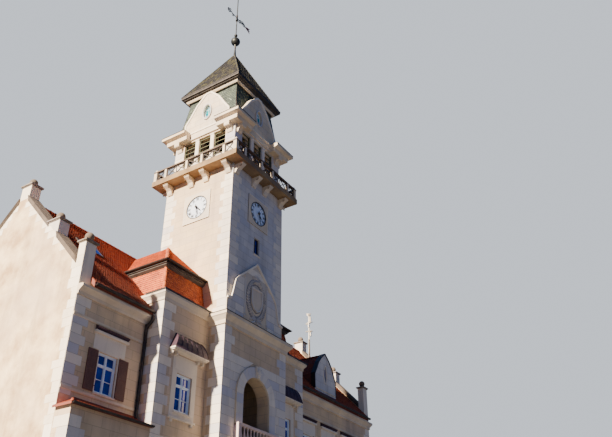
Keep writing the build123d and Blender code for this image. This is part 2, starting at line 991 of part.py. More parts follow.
def risalit_return_walls():
    """Short side walls from the risalits back to the wings."""
    x0 = -risalit_edge
    x1 = wall - risalit_edge
    outside = block(x0, x1, wall - risalit_face, -front_face, 0, risalit_wall_top)
    inside = block(x0, x1, -front_face, wall - front_face, 0, eave_wall_top)
    return mirrored([outside + inside])


def wing_front_walls():
    """Top storey of the wings, standing on the floor behind the pent roofs."""
    y0 = -front_face
    y1 = wall - front_face
    left = block(inside_left, -risalit_edge, y0, y1, second_floor, eave_wall_top)
    left = cut(left, window_holes([-wing_window], top_sill, top_head, y0, y1))
    right = block(risalit_edge, inside_right, y0, y1, second_floor, eave_wall_top)
    right = cut(right, window_holes(right_windows, top_sill, top_head, y0, y1))
    return [left, right]


def lower_front_walls():
    """Lower storeys: the two bays beside the risalits and the rest of the right wing."""
    y0 = -bay_face
    bay = block(-bay_end, -risalit_edge, y0, y0 + wall, 0, bay_wall_top)
    for sill, head in storeys[:2]:
        bay = cut(bay, window_holes([-wing_window], sill, head, y0, y0 + wall))
    y2 = -front_face
    rest = block(bay_end, inside_right, y2, y2 + wall, 0, second_floor)
    for sill, head in storeys[:2]:
        rest = cut(rest, window_holes(lower_right_windows, sill, head, y2, y2 + wall))
    return mirrored([bay]) + [rest]


def lower_end_walls():
    """Ends of the two lower bays."""
    return mirrored([block(-bay_end, gable_wall - bay_end, wall - bay_face, -front_face, 0,
                           bay_wall_top)])


def rear_wall():
    """Plain rear wall with a row of windows in each storey."""
    y0 = rear_face - wall
    piece = block(inside_left, inside_right, y0, rear_face, 0, eave_wall_top)
    for sill, head in storeys:
        piece = cut(piece, window_holes(rear_windows, sill, head, y0, rear_face))
    return [piece]


def gable_line(y):
    """Top of the gable wall's sloped stretches."""
    return roof_top(y) + parapet_rise


def gable_walls():
    """Plain party walls with stepped parapets and pedestals."""
    eave_in = eave_pedestal_length - front_face
    low = middle_pedestal_low
    high = middle_pedestal_high
    middle_top = gable_line(high) + middle_pedestal_rise
    apex = ridge_place - apex_pedestal_half
    half = [(-front_face, 0), (-front_face, eave_pedestal_top), (eave_in, eave_pedestal_top),
            (eave_in, gable_line(eave_in)), (low, gable_line(low)), (low, middle_top),
            (high, middle_top), (high, gable_line(high)), (apex, gable_line(apex)),
            (apex, apex_pedestal_top)]
    outline = half + [(2 * ridge_place - y, z) for y, z in reversed(half)]
    return [profile_along_x(outline, -left_end, inside_left),
            profile_along_x(outline, inside_right, right_end)]


def building_floors():
    """Floor plates of the building, in one piece round the tower in each storey."""
    pieces = []
    for level, thickness in ((ground_slab, ground_slab), (first_floor, floor_thickness),
                             (second_floor, floor_thickness), (attic_floor, floor_thickness)):
        low = level - thickness
        plate = block(inside_left, inside_right, wall - front_face, rear_face - wall, low, level)
        plate -= block(-base_half, base_half, -risalit_face, base_half, low, level)
        for bay in mirrored([block(wall - risalit_edge, -base_half, wall - risalit_face,
                                   wall - front_face, low, level)]):
            plate += bay
        if level < attic_floor:
            for bay in mirrored([block(gable_wall - bay_end, -risalit_edge, wall - bay_face,
                                       wall - front_face, low, level)]):
                plate += bay
            plate += block(bay_end - gable_wall, bay_end, -front_face, wall - front_face,
                           low, level)
        pieces.append(plate)
    return pieces


# Roofs
def front_slope(x0, x1):
    """Roof slab from the front eave to the ridge."""
    y0 = eave_trim - front_face - eave_reach
    outline = [(y0, roof_top(y0)), (ridge_place, ridge_height),
               (ridge_place, ridge_height - roof_thickness), (y0, roof_top(y0) - roof_thickness)]
    return profile_along_x(outline, x0, x1)


def front_roofs():
    """Front slopes of the wings, notched round the risalits and ending at the tower."""
    left = front_slope(inside_left, -base_half)
    left -= block(-risalit_edge, -base_half, -risalit_face, -front_face, 0, ridge_height)
    right = front_slope(base_half, inside_right)
    right -= block(base_half, risalit_edge, -risalit_face, -front_face, 0, ridge_height)
    return [left, right]


def rear_roof():
    """Rear slope in one piece."""
    slope = front_slope(inside_left, inside_right)
    return [Pos(0, 2 * ridge_place, 0) * mirror(slope, about=Plane.XZ)]


def saddle_roof():
    """Roof behind the tower: the main slope and the flat between the two hips."""
    slope = front_slope(-base_half, base_half)
    slope -= block(-base_half, base_half, -bay_face, base_half, 0, ridge_height)
    flat = block(-shaft_half, shaft_half, shaft_half, ridge_place,
                 hip_top - risalit_roof_thickness, hip_top)
    return [slope + (flat - under_front_slope(-base_half, base_half))]


def risalit_mansards():
    """Steep tiled lower roofs of the risalits."""
    foot_x = risalit_edge + mansard_foot_reach
    foot_y = risalit_face + mansard_foot_reach
    outer = frustum_corner(foot_x, foot_y, mansard_lean, mansard_foot, mansard_top)
    inner = frustum_corner(foot_x - risalit_roof_thickness, foot_y - risalit_roof_thickness,
                           mansard_lean, mansard_foot, mansard_top)
    shell = outer - inner - under_front_slope(-foot_x - 1, -shaft_half + 1)
    return mirrored([shell])


def frustum_corner(reach_x, reach_y, lean, z0, z1):
    """A block from the tower to a free corner, leaning in on its two free sides."""
    side = profile_along_y([(-reach_x, z0), (-shaft_half, z0), (-shaft_half, z1),
                            (lean - reach_x, z1)], -reach_y, ridge_place)
    front = profile_along_x([(-reach_y, z0), (ridge_place, z0), (ridge_place, z1),
                             (lean - reach_y, z1)], -reach_x, -shaft_half)
    return side & front


def upper_eave_corner():
    """Free corner of the upper eave, as distances from the tower's axis."""
    inset = mansard_foot_reach - mansard_lean + upper_eave_reach
    return risalit_edge + inset, risalit_face + inset


def risalit_eaves():
    """Dark boxed eaves between the steep and the shallow roofs."""
    reach_x, reach_y = upper_eave_corner()
    outer = block(-reach_x, -shaft_half, -reach_y, ridge_place, mansard_top, hip_foot)
    inset = 2 * risalit_roof_thickness
    inner = block(inset - reach_x, -shaft_half, inset - reach_y, ridge_place, mansard_top,
                  hip_foot)
    eave = outer - inner - under_front_slope(-reach_x - 1, -shaft_half + 1)
    return mirrored([eave])


def risalit_hips():
    """Shallow hipped upper roofs, rising to the tower's side."""
    reach_x, reach_y = upper_eave_corner()
    run = reach_x - shaft_half
    side = profile_along_y([(-reach_x, hip_foot), (-shaft_half, hip_foot),
                            (-shaft_half, hip_top)], -reach_y, ridge_place)
    front = profile_along_x([(-reach_y, hip_foot), (ridge_place, hip_foot),
                             (ridge_place, hip_top), (run - reach_y, hip_top)],
                            -reach_x, -shaft_half)
    shell = roof_shell(side & front, risalit_roof_thickness)
    return mirrored([shell - under_front_slope(-reach_x - 1, 1 - shaft_half)])


def pent_roofs():
    """Hipped pent roofs over the lower bays."""
    eave = -bay_face - pent_reach
    end = bay_end + pent_end_reach
    deep = pent_eave - pent_thickness
    body = profile_along_x([(eave, deep), (eave, pent_eave), (-front_face, pent_top),
                            (-front_face, deep)], -end, -risalit_edge)
    hip = profile_along_y([(-end, deep), (-end, pent_eave), (pent_hip - end, pent_top),
                           (-risalit_edge, pent_top), (-risalit_edge, deep)], eave, -front_face)
    outer = body & hip
    return mirrored([roof_shell(outer, pent_thickness)])


# Cornices, bands and gutters
def wing_cornices():
    """Stone cornices under the eaves of the wings and along the rear."""
    profile = cornice_profile(wing_cornice_bottom, wing_cornice_height, wing_cornice_reach)
    y = -front_face
    left = moulding(profile, [(-risalit_edge, y), (-left_end, y)])
    right = moulding(profile, [(right_end, y), (risalit_edge, y)])
    rear = moulding(profile, [(-left_end, rear_face), (right_end, rear_face)])
    return [left, right, rear]


def risalit_cornices():
    """Stone cornices round the free corners of the risalits."""
    profile = cornice_profile(risalit_wall_top, risalit_cornice_height, risalit_cornice_reach)
    inner = [(-risalit_roof_thickness, risalit_wall_top), (0, risalit_wall_top),
             (0, mansard_foot), (-risalit_roof_thickness, mansard_foot)]
    path = [(-base_half, -risalit_face), (-risalit_edge, -risalit_face),
            (-risalit_edge, wall - front_face)]
    band = moulding(profile, path) + moulding(inner, path)
    return mirrored([band - under_front_slope(-left_end, -base_half)])


def wall_bands():
    """Flat bands on the wings at sill height and under the cornice."""
    y0 = -front_face - band_reach
    inner = risalit_edge + 2 * downpipe_offset
    pieces = []
    for low in (sill_band, frieze_band):
        pieces.append(block(-left_end, -inner, y0, -front_face, low, low + band_height))
        pieces.append(block(inner, right_end, y0, -front_face, low, low + band_height))
    return pieces


def half_gutter(x0, x1, y):
    """Half-round gutter hung in front of an eave."""
    z = roof_top(eave_trim - front_face - eave_reach) - roof_thickness / 3
    angles = [math.pi * (1 + index / gutter_sides) for index in range(gutter_sides + 1)]
    outline = [(y + gutter_radius * math.cos(angle), z + gutter_radius * math.sin(angle))
               for angle in angles]
    inner = gutter_radius - gutter_wall
    outline += [(y + inner * math.cos(angle), z + inner * math.sin(angle))
                for angle in reversed(angles)]
    return profile_along_x(outline, x0, x1)


def gutters():
    """Gutters along the eaves of the wings and the rear."""
    edge = front_face + eave_reach - eave_trim + gutter_radius
    rear = 2 * ridge_place + edge
    return [half_gutter(inside_left, -risalit_edge, -edge),
            half_gutter(risalit_edge, inside_right, -edge),
            half_gutter(inside_left, inside_right, rear)]


def downpipes():
    """Downpipes in the corners between the wings and the risalits."""
    x = -risalit_edge - downpipe_offset
    y = -front_face - downpipe_radius
    height = wing_cornice_bottom - pent_top
    radius = downpipe_radius
    pipe = Pos(x, y, pent_top) * faceted([(radius, 0), (radius, height)], downpipe_sides)
    return mirrored([pipe])


# Windows
def street_windows():
    """Each window towards the street: place, wall face, sill and head."""
    rows = []
    for sill, head in storeys:
        rows += [(x, -risalit_face, sill, head) for x in (-risalit_window, risalit_window)]
    for sill, head in storeys[:2]:
        rows += [(x, -bay_face, sill, head) for x in (-wing_window, wing_window)]
        rows += [(x, -front_face, sill, head) for x in lower_right_windows]
    rows += [(x, -front_face, top_sill, top_head) for x in [-wing_window] + right_windows]
    rows.append((0, -base_half, first_sill, first_head))
    return rows


def rear_rows():
    """Each window of the rear wall, as if its wall faced the street at the origin."""
    return [(-x, 0, sill, head) for x in rear_windows for sill, head in storeys]


def to_rear(piece):
    """A piece made for a street wall at the origin, moved to the rear wall."""
    return Pos(0, rear_face, 0) * Rot(0, 0, 180) * piece


def window_frame(x, face, sill, head):
    """Outer frame of a window."""
    half = window_width / 2
    y0 = face + window_recess
    y1 = y0 + frame_depth
    bar = frame_bar
    frame = block(x - half, x + half, y0, y1, sill, head)
    return frame - block(x - half + bar, x + half - bar, y0, y1, sill + bar, head - bar)


def window_pane(x, face, sill, head):
    """Sheet of glass behind a frame."""
    half = window_width / 2
    y0 = face + window_recess + frame_depth
    return block(x - half, x + half, y0, y0 + glass_thickness, sill, head)


def window_sill(x, face, sill, head):
    """Stone sill under a window."""
    half = window_width / 2 + sill_ear
    return block(x - half, x + half, face - sill_reach, face, sill - sill_height, sill)


def every_window(maker):
    """One piece for each window, made by the given function."""
    pieces = [maker(*row) for row in street_windows()]
    return pieces + [to_rear(maker(*row)) for row in rear_rows()]


def small_window():
    """Pane of the shaft's small window."""
    half = small_window_width / 2
    y0 = window_recess - shaft_half
    return [block(-half, half, y0, y0 + glass_thickness, small_window_sill,
                  small_window_sill + small_window_height)]


def shutters():
    """Open shutters flat on the wall beside the wings' upper windows."""
    y0 = -front_face - shutter_thickness
    pieces = []
    for x in [-wing_window] + right_windows:
        inner = window_width / 2 + shutter_gap
        for x0 in (x - inner - shutter_width, x + inner):
            pieces.append(block(x0, x0 + shutter_width, y0, -front_face, top_sill, top_head))
    return pieces


def risalit_hoods():
    """Curved sheet hoods with hipped ends over the risalits' upper windows."""
    face = -risalit_face
    low = hood_bottom + hood_ledge
    high = low + hood_height
    steps = [math.radians(90 * index / hood_steps) for index in range(hood_steps + 1)]
    curve = [(face - hood_reach * math.cos(step), low + hood_height * math.sin(step))
             for step in steps]
    hood = profile_along_x([(face, low)] + curve, -hood_half, hood_half)
    hood &= profile_along_y([(-hood_half, low), (hood_half, low), (hood_top_half, high),
                             (-hood_top_half, high)], face - hood_reach, face)
    return mirrored([Pos(-risalit_window, 0, 0) * hood])


def hood_ledges():
    """Stone ledges under the curved hoods."""
    x = -risalit_window
    half = hood_half + hood_ledge_reach
    front = -risalit_face - hood_reach - hood_ledge_reach
    return mirrored([block(x - half, x + half, front, -risalit_face, hood_bottom,
                           hood_bottom + hood_ledge)])


def slim_hoods():
    """Narrow hoods with sloped tops over the wings' upper windows."""
    face = -front_face
    nose = face - slim_hood_reach
    low = slim_hood_bottom
    outline = [(face, low), (nose, low + 0.4 * slim_hood_height),
               (nose, low + 0.65 * slim_hood_height), (face, low + slim_hood_height)]
    half = slim_hood_half
    return [profile_along_x(outline, x - half, x + half)
            for x in [-wing_window] + right_windows]


# Gable copings and finials
def gable_copings(x0, x1):
    """Coping slabs on the sloped stretches of a gable."""
    stretches = ((eave_pedestal_length - front_face, middle_pedestal_low),
                 (middle_pedestal_high, ridge_place - apex_pedestal_half))
    pieces = []
    for low, high in stretches:
        outline = [(low, gable_line(low)), (high, gable_line(high)),
                   (high, gable_line(high) + coping_thickness),
                   (low, gable_line(low) + coping_thickness)]
        for points in (outline, [(2 * ridge_place - y, z) for y, z in outline]):
            pieces.append(profile_along_x(points, x0 - coping_reach, x1 + coping_reach))
    return pieces


def capped_ball(x0, x1, y0, y1, z):
    """Pedestal cap with a stone ball on a short neck."""
    cap = block(x0 - cap_reach, x1 + cap_reach, y0 - cap_reach, y1 + cap_reach, z,
                z + cap_thickness)
    radius = stone_ball_radius
    centre = stone_neck_height + 0.85 * radius
    profile = [(stone_neck_radius, 0), (stone_neck_radius, stone_neck_height)]
    profile += [pair for pair in ball_profile(radius, centre) if pair[1] > stone_neck_height]
    ball = faceted(profile, stone_ball_sides)
    return cap + Pos((x0 + x1) / 2, (y0 + y1) / 2, z + cap_thickness) * ball


def gable_finials(x0, x1):
    """Capped balls on the pedestals of a gable between two places on the X axis."""
    apex = ridge_place - apex_pedestal_half
    middle = (middle_pedestal_low, middle_pedestal_high,
              gable_line(middle_pedestal_high) + middle_pedestal_rise)
    eave = (-front_face, eave_pedestal_length - front_face, eave_pedestal_top)
    pieces = [capped_ball(x0, x1, apex, 2 * ridge_place - apex, apex_pedestal_top)]
    for y0, y1, z in (middle, eave):
        pieces.append(capped_ball(x0, x1, y0, y1, z))
        pieces.append(capped_ball(x0, x1, 2 * ridge_place - y1, 2 * ridge_place - y0, z))
    return pieces


def gable_tops():
    """Copings and finials of both gables, joined where they meet."""
    stonework = Part()
    for x0, x1 in ((-left_end, inside_left), (inside_right, right_end)):
        for piece in gable_copings(x0, x1) + gable_finials(x0, x1):
            stonework += piece
    return [cut(stonework, gable_walls())]


# Dormer, skylights and mast
def dormer_outline(inset):
    """Right half of the dormer's front, drawn in by the given amount."""
    half = dormer_half - inset
    return [(0, eave_wall_top), (half, eave_wall_top), (half, dormer_side_top),
            (dormer_shoulder_half - inset, dormer_shoulder), (0, dormer_top - inset)]


def dormer_front():
    """Stone front of the dormer, standing on the wall."""
    y0 = -front_face
    y1 = y0 + dormer_wall
    front = plate(dormer_outline(0), y0, y1)
    front -= oval(dormer_oval_half_width, dormer_oval_half_height, y0 - 1, y1 + 1,
                  dormer_oval_place)
    front = Pos(dormer_place, 0, 0) * front
    return [front - under_front_slope(dormer_place - dormer_half, dormer_place + dormer_half)]


def dormer_roof():
    """Tiled body of the dormer, from its front back into the slope."""
    y0 = dormer_wall - front_face
    body = plate(dormer_outline(dormer_setback), y0, ridge_place)
    body -= plate(dormer_outline(dormer_setback + dormer_shell), y0, ridge_place)
    body = Pos(dormer_place, 0, 0) * body
    return [body - under_front_slope(dormer_place - dormer_half, dormer_place + dormer_half)]


def dormer_pane():
    """Pane of the dormer's oval window."""
    y0 = dormer_wall / 2 - front_face
    pane = oval(dormer_oval_half_width, dormer_oval_half_height, y0, y0 + glass_thickness,
                dormer_oval_place)
    return [Pos(dormer_place, 0, 0) * pane]


def skylights():
    """Two flat skylights on the left wing's front slope."""
    pieces = []
    y0 = skylight_front
    y1 = y0 + skylight_length
    outline = [(y0, roof_top(y0)), (y1, roof_top(y1)), (y1, roof_top(y1) + skylight_height),
               (y0, roof_top(y0) + skylight_height)]
    for x in skylight_places:
        pieces.append(profile_along_x(outline, x - skylight_width / 2, x + skylight_width / 2))
    return pieces


def aerial_mast():
    """Mast on the ridge with cross arms, all of square section."""
    r = mast_radius
    mast = block(mast_place - r, mast_place + r, ridge_place - r, ridge_place + r, ridge_height,
                 mast_top)
    size = 2 * mast_arm_radius
    for index in range(mast_arm_count):
        z = mast_top - mast_arm_pitch * (index + 0.4)
        arm = Rot(0, 0, 30 * index) * Box(2 * mast_arm_half, size, size)
        mast += Pos(mast_place, ridge_place, z) * arm
    return [mast]


def clock_hands():
    """Hands of the front and left dials, a node each, and those of the other two in one."""
    hour = clock_hand(hour_length, hour_tail, hour_half_width, hour_angle, hand_gap)
    minute = clock_hand(minute_length, minute_tail, minute_half_width, minute_angle,
                        hand_gap + hand_thickness + hand_space)
    hands = {"still_clock_hands": [turned(hand, side) for hand in (hour, minute)
                                   for side in (1, 2)]}
    for side, name in ((0, "front"), (3, "left")):
        hands[name + "_hour_hand"] = [turned(hour, side)]
        hands[name + "_minute_hand"] = [turned(minute, side)]
    return hands


def main():
    os.makedirs("parts", exist_ok=True)
    nodes = {
        "tower_end_walls": tower_end_walls(),
        "tower_side_walls": tower_side_walls(),
        "tower_base_cornice": tower_base_cornice(),
        "floors": tower_floors() + building_floors(),
        "loggia_surround": loggia_surround(),
        "loggia_balustrade": loggia_balustrade(),
        "portal_door": portal_door(),
        "shaft_end_walls": shaft_end_walls(),
        "shaft_side_walls": shaft_side_walls(),
        "shaft_panels": [shaft_relief()] + clock_panels(),
        "clock_dials": clock_dials(),
        "balcony_slab": balcony_slab(),
        "balcony_corbels": balcony_corbels(),
        "balcony_posts": balcony_posts(),
        "balcony_rail": balcony_rail(),
        "balcony_railing": balcony_railing(),
        "belfry_end_walls": belfry_end_walls(),
        "belfry_side_walls": belfry_side_walls(),
        "belfry_louvres": belfry_louvres(),
        "belfry_cornices": belfry_cornices(),
        "belfry_frieze": belfry_frieze(),
        "belfry_gables": belfry_gables(),
        "steep_roof": steep_roof(),
        "spire_eave": spire_eave(),
        "spire_roof": spire_roof(),
        "finial": finial(),
        "weathervane": weathervane(),
        "risalit_front_walls": risalit_front_walls(),
        "return_walls": risalit_return_walls() + lower_end_walls(),
        "wing_front_walls": wing_front_walls(),
        "lower_front_walls": lower_front_walls(),
        "rear_wall": rear_wall(),
        "gable_walls": gable_walls(),
        "front_roofs": front_roofs(),
        "rear_roof": rear_roof(),
        "saddle_roof": saddle_roof(),
        "risalit_mansards": risalit_mansards(),
        "risalit_eaves": risalit_eaves(),
        "risalit_hips": risalit_hips(),
        "pent_roofs": pent_roofs(),
        "wall_cornices": wing_cornices() + risalit_cornices() + wall_bands(),
        "gutters": gutters() + downpipes(),
        "window_frames": every_window(window_frame),
        "window_panes": every_window(window_pane) + small_window() + oval_panes()
                        + dormer_pane(),
        "window_sills": every_window(window_sill) + hood_ledges(),
        "shutters": shutters(),
        "window_hoods": risalit_hoods() + slim_hoods(),
        "gable_tops": gable_tops(),
        "dormer_front": dormer_front(),
        "dormer_roof": dormer_roof(),
        "roof_fittings": skylights() + aerial_mast(),
    }
    nodes.update(clock_hands())
    for name, pieces in nodes.items():
        save(name, pieces)


main()
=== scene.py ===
import json
import math
import random
import bpy
from mathutils import Matrix, Vector


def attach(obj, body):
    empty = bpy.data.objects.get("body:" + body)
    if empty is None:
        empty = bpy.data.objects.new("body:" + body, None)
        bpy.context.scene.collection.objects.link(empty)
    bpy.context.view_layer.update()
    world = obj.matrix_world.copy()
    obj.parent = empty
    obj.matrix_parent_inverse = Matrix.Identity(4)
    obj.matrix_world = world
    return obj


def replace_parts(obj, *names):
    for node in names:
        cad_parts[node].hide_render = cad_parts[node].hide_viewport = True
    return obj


# Town hall with a clock tower, a 1:2 scale model. Lengths below are in millimetres.
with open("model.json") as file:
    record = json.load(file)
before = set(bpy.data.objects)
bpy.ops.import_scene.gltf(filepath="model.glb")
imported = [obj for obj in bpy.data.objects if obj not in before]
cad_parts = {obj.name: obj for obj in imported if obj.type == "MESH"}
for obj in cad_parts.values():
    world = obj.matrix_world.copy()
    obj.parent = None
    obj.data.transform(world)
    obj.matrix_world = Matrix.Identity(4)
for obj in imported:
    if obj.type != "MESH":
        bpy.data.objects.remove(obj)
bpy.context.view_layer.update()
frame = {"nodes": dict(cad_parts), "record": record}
nodes = frame["nodes"]
MM = 0.001

# Sizes that the pieces share with the solids
base_half = 1620
shaft_half = 1500
belfry_half = 1400
balcony_half = 1920
spire_half = 1425
eave_height = 8600
ridge_height = 12290
ridge_place = 2800
front_face = 470
rear_face = 6070
left_end = 6130
right_end = 9750
gable_wall = 350
base_cornice = 8750
base_top = 9135
clock_height = 13470
shaft_head = 14422
balcony_bottom = 14801
balcony_top = 15010
rail_top = 15455
gable_foot = 17070
spire_top = 22045
risalit_edge = 3610
risalit_face = 1025
risalit_top = 8900
bay_face = 1000
pent_top = 5650
pent_eave = 5370
pent_edge = 1110
pent_end = 6225
loggia_floor = 5450
loggia_half = 975
loggia_spring = 6850
loggia_rail = 5975
door_half = 830
door_spring = 1750
storeys = ((800, 1950), (3250, 4500), (5960, 7000))
top_sill, top_head = storeys[2]
window_half = 315
risalit_window = 2520
wing_window = 4805
right_windows = (4805, 6300, 7795)
hood_foot = 7610
hood_rise = 470
hood_reach = 240
vane_height = 24430
dormer_x = 6200
dormer_oval = (dormer_x, 9620)
belfry_oval = (0, 17885)
roof_slope = (ridge_height - eave_height) / (ridge_place + 695)

# Half widths of a curved hood at its foot and at its top
hood_half = (715, 510)

# Half width, sill and head of the shaft's small window
small_window = (155, 11835, 12475)

# The risalits' steep roofs, set back behind a ledge: half widths and depths, and heights
mansard_foot = 9180
ledge_top = 9335
mansard_top = 10270
hip_foot = 10430
hip_top = 12200
upper_eave = (3300, 640)
mansard_head = (3170, 510)
ledge_share = (ledge_top - mansard_foot) / (mansard_top - mansard_foot)
mansard_ledge = [low + ledge_share * (high - low) for low, high in zip((3370, 710), mansard_head)]

# Stonework and tiles
course = 264
joint = 5
pedestal_foot = 8340
party_top = 12150
roof_low = -660
roof_high = 2780

# A coping's mouldings: each from and to over the gable's line, and how far it stands out
coping_steps = ((-112, -76, 12), (-76, -40, 22), (-40, -2, 32), (-2, 36, 43), (36, 72, 54))


def roof_top(y):
    """Height of the main front slope at a place on the Y axis."""
    return ridge_height - roof_slope * (ridge_place - y)


def valley(z):
    """Where the main front slope has a given height: its place on the Y axis."""
    return ridge_place - (ridge_height - z) / roof_slope


# Places and outlines
class Side:
    """A flat place: an origin, a direction along it, one up it and one out of it."""

    def __init__(self, origin, along, up):
        self.origin = Vector(origin)
        self.along = Vector(along).normalized()
        self.up = Vector(up).normalized()
        self.out = self.along.cross(self.up)

    def at(self, u, v, w=0):
        return self.origin + u * self.along + v * self.up + w * self.out


def turned(points, turn):
    """Points carried round the tower's axis by a number of quarter turns."""
    spin = Matrix.Rotation(math.radians(90 * turn), 3, "Z")
    return [spin @ Vector(point) for point in points]


def wall(turn, face):
    """A wall seen from outside: 0 faces the street, then counterclockwise from above."""
    origin, along = turned([(0, -face, 0), (1, 0, 0)], turn)
    return Side(origin, along, (0, 0, 1))


plan = Side((0, 0, 0), (1, 0, 0), (0, 1, 0))


def roof_side(corners):
    """The place of a sloped face, and its outline on it."""
    points = [Vector(corner) for corner in corners]
    normal = (points[1] - points[0]).cross(points[-1] - points[0]).normalized()
    if normal.z < 0:
        normal.negate()
    along = Vector((0, 0, 1)).cross(normal)
    side = Side(points[0], along, normal.cross(along))
    shifts = [point - side.origin for point in points]
    return side, [(shift.dot(side.along), shift.dot(side.up)) for shift in shifts]


def pairs(outline):
    """Each corner of an outline with the next one."""
    return list(zip(outline, outline[1:] + outline[:1]))


def area(outline):
    return sum(a[0] * b[1] - b[0] * a[1] for a, b in pairs(outline)) / 2


def inset(outline, depth):
    """The outline drawn in by the given depth."""
    result = []
    for index in range(len(outline)):
        a, b, c = (Vector(outline[(index + step) % len(outline)]) for step in (-1, 0, 1))
        before = (b - a).normalized()
        after = (c - b).normalized()
        normal = Vector((-before.y - after.y, before.x + after.x))
        result.append(tuple(b + depth * normal / max(1 + before.dot(after), 0.2)))
    return result


def left_of(p, a, b):
    """How far a point lies left of the line from a to b, times that line's length."""
    return (b[0] - a[0]) * (p[1] - a[1]) - (b[1] - a[1]) * (p[0] - a[0])


def clip(outline, a, b):
    """The part of an outline on the left of the line from a to b."""
    result = []
    for p, q in pairs(outline):
        near = left_of(p, a, b)
        far = left_of(q, a, b)
        if near >= 0:
            result.append(p)
        if near * far < 0:
            share = near / (near - far)
            result.append((p[0] + share * (q[0] - p[0]), p[1] + share * (q[1] - p[1])))
    return result


def rect(u0, u1, v0, v1):
    u0, u1 = min(u0, u1), max(u0, u1)
    return [(u0, v0), (u1, v0), (u1, v1), (u0, v1)]


def arc(radius, start, end, count, centre=(0, 0), stretch=1):
    """Points on a circle or oval, from one angle in degrees to another."""
    turns = [math.radians(start + (end - start) * step / count) for step in range(count + 1)]
    return [(centre[0] + radius * math.cos(turn), centre[1] + stretch * radius * math.sin(turn))
            for turn in turns]


def oval(radius, count, centre=(0, 0), stretch=1):
    """A whole circle or oval."""
    return arc(radius, 0, 360, count, centre, stretch)[:-1]


def both_halves(half):
    """An outline from one half of it, mirrored about the middle."""
    return half + [(-x, z) for x, z in reversed(half) if x]


class Pile:
    """Collects the faces of many small pieces, each with a tint of its own."""

    def __init__(self, seed):
        self.points = []
        self.faces = []
        self.tints = []
        self.smooth = []
        self.chance = random.Random(seed)

    def add(self, points, faces, tint=None, smooth=False):
        start = len(self.points)
        if tint is None:
            tint = self.chance.uniform(0.2, 1)
        self.points += [tuple(MM * value for value in point) for point in points]
        self.faces += [[start + index for index in face] for face in faces]
        self.tints += [tint] * len(points)
        self.smooth += [smooth] * len(faces)

    def rings(self, rings, tint=None, smooth=False, caps=True):
        """A skin over rings of points, each ring counterclockwise from its far end."""
        count = len(rings[0])
        faces = []
        for low in range(0, (len(rings) - 1) * count, count):
            for index in range(count):
                after = (index + 1) % count
                faces.append([low + index, low + after, low + count + after,
                              low + count + index])
        if caps:
            last = (len(rings) - 1) * count
            faces.append([last + index for index in range(count)])
            faces.append([count - 1 - index for index in range(count)])
        self.add([point for ring in rings for point in ring], faces, tint, smooth)

    def slab(self, side, outline, low, high, bevel=0, tint=None, both=False):
        """An outline on a side, carried outward, with a bevel round its front edge."""
        if area(outline) < 0:
            outline = outline[::-1]
        levels = [(outline, low), (outline, high - bevel)]
        if bevel:
            small = inset(outline, bevel)
            levels.append((small, high))
            if both:
                levels[0] = (outline, low + bevel)
                levels.insert(0, (small, low))
        self.rings([[side.at(u, v, w) for u, v in ring] for ring, w in levels], tint)

    def boxes(self, side, *rows):
        """Slabs with straight edges: two places along, two up, two out, a bevel and a tint."""
        for u0, u1, v0, v1, *rest in rows:
            self.slab(side, rect(u0, u1, v0, v1), *rest)

    def rim(self, side, outer, inner, low, high, bevel=0, tint=None):
        """A rim on a side, from its outline inward by a width or to another outline."""
        if not isinstance(inner, list):
            inner = inset(outer, inner)
        levels = [(outer, low), (outer, high - bevel)]
        if bevel:
            levels += [(inset(outer, bevel), high), (inset(inner, -bevel), high)]
        else:
            levels.append((inner, high))
        levels += [(inner, high - bevel), (inner, low)]
        self.rings([[side.at(u, v, w) for u, v in ring] for ring, w in levels], tint, caps=False)

    def lathe(self, profile, count, centre=(0, 0, 0), tint=0.6, axis=(0, 0, 1)):
        """A turned piece from (radius, height) pairs, on an upright or another axis."""
        turn = Vector((0, 0, 1)).rotation_difference(Vector(axis))
        self.rings([[Vector(centre) + turn @ Vector((x, y, height)) for x, y in oval(radius, count)]
                    for radius, height in profile], tint, True)

    def boss(self, side, u, v, w, profile, count, tint):
        """A turned piece that stands out of a side."""
        self.lathe(profile, count, side.at(u, v, w), tint, side.out)

    def tube(self, path, radius, count=8):
        """A round bar along a path of points."""
        points = [Vector(point) for point in path]
        rings = []
        for index, point in enumerate(points):
            before = point - points[index - 1] if index else points[1] - point
            after = points[index + 1] - point if index + 1 < len(points) else before
            ahead = (before.normalized() + after.normalized()).normalized()
            hint = Vector((0, 0, 1)) if abs(ahead.z) < 0.9 else Vector((0, 1, 0))
            across = hint.cross(ahead).normalized()
            if rings and across.dot(last) < 0:
                across.negate()
            last = across
            upward = ahead.cross(across)
            widen = 1 / max(ahead.dot(after.normalized()), 0.5)
            rings.append([point + radius * (x * widen * across + y * upward)
                          for x, y in oval(1, count)])
        self.rings(rings, 0.6, True)

    def band(self, path, profile, closed=False, tint=0.6):
        """A moulding along a path in plan, its outward side on the right, from (out, z)."""
        points = [Vector(point[:2]) for point in path]
        count = len(points)
        if area(profile) > 0:
            profile = profile[::-1]
        rings = []
        for index, point in enumerate(points):
            before = (point - points[index - 1]).normalized()
            after = (points[(index + 1) % count] - point).normalized()
            if not closed and index == 0:
                before = after
            if not closed and index == count - 1:
                after = before
            out = Vector((before.y + after.y, -before.x - after.x)) / (1 + before.dot(after))
            rings.append([(point.x + w * out.x, point.y + w * out.y, z) for w, z in profile])
        if closed:
            rings.append(rings[0])
        self.rings(rings, tint, caps=not closed)

    def make(self, name, paint, slot, body="building"):
        mesh = bpy.data.meshes.new(name)
        mesh.from_pydata(self.points, [], self.faces)
        mesh.attributes.new("tint", "FLOAT", "POINT").data.foreach_set("value", self.tints)
        mesh.polygons.foreach_set("use_smooth", self.smooth)
        mesh.materials.append(paint)
        mesh.validate()
        piece = bpy.data.objects.new(name, mesh)
        bpy.context.scene.collection.objects.link(piece)
        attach(piece, body)
        return piece


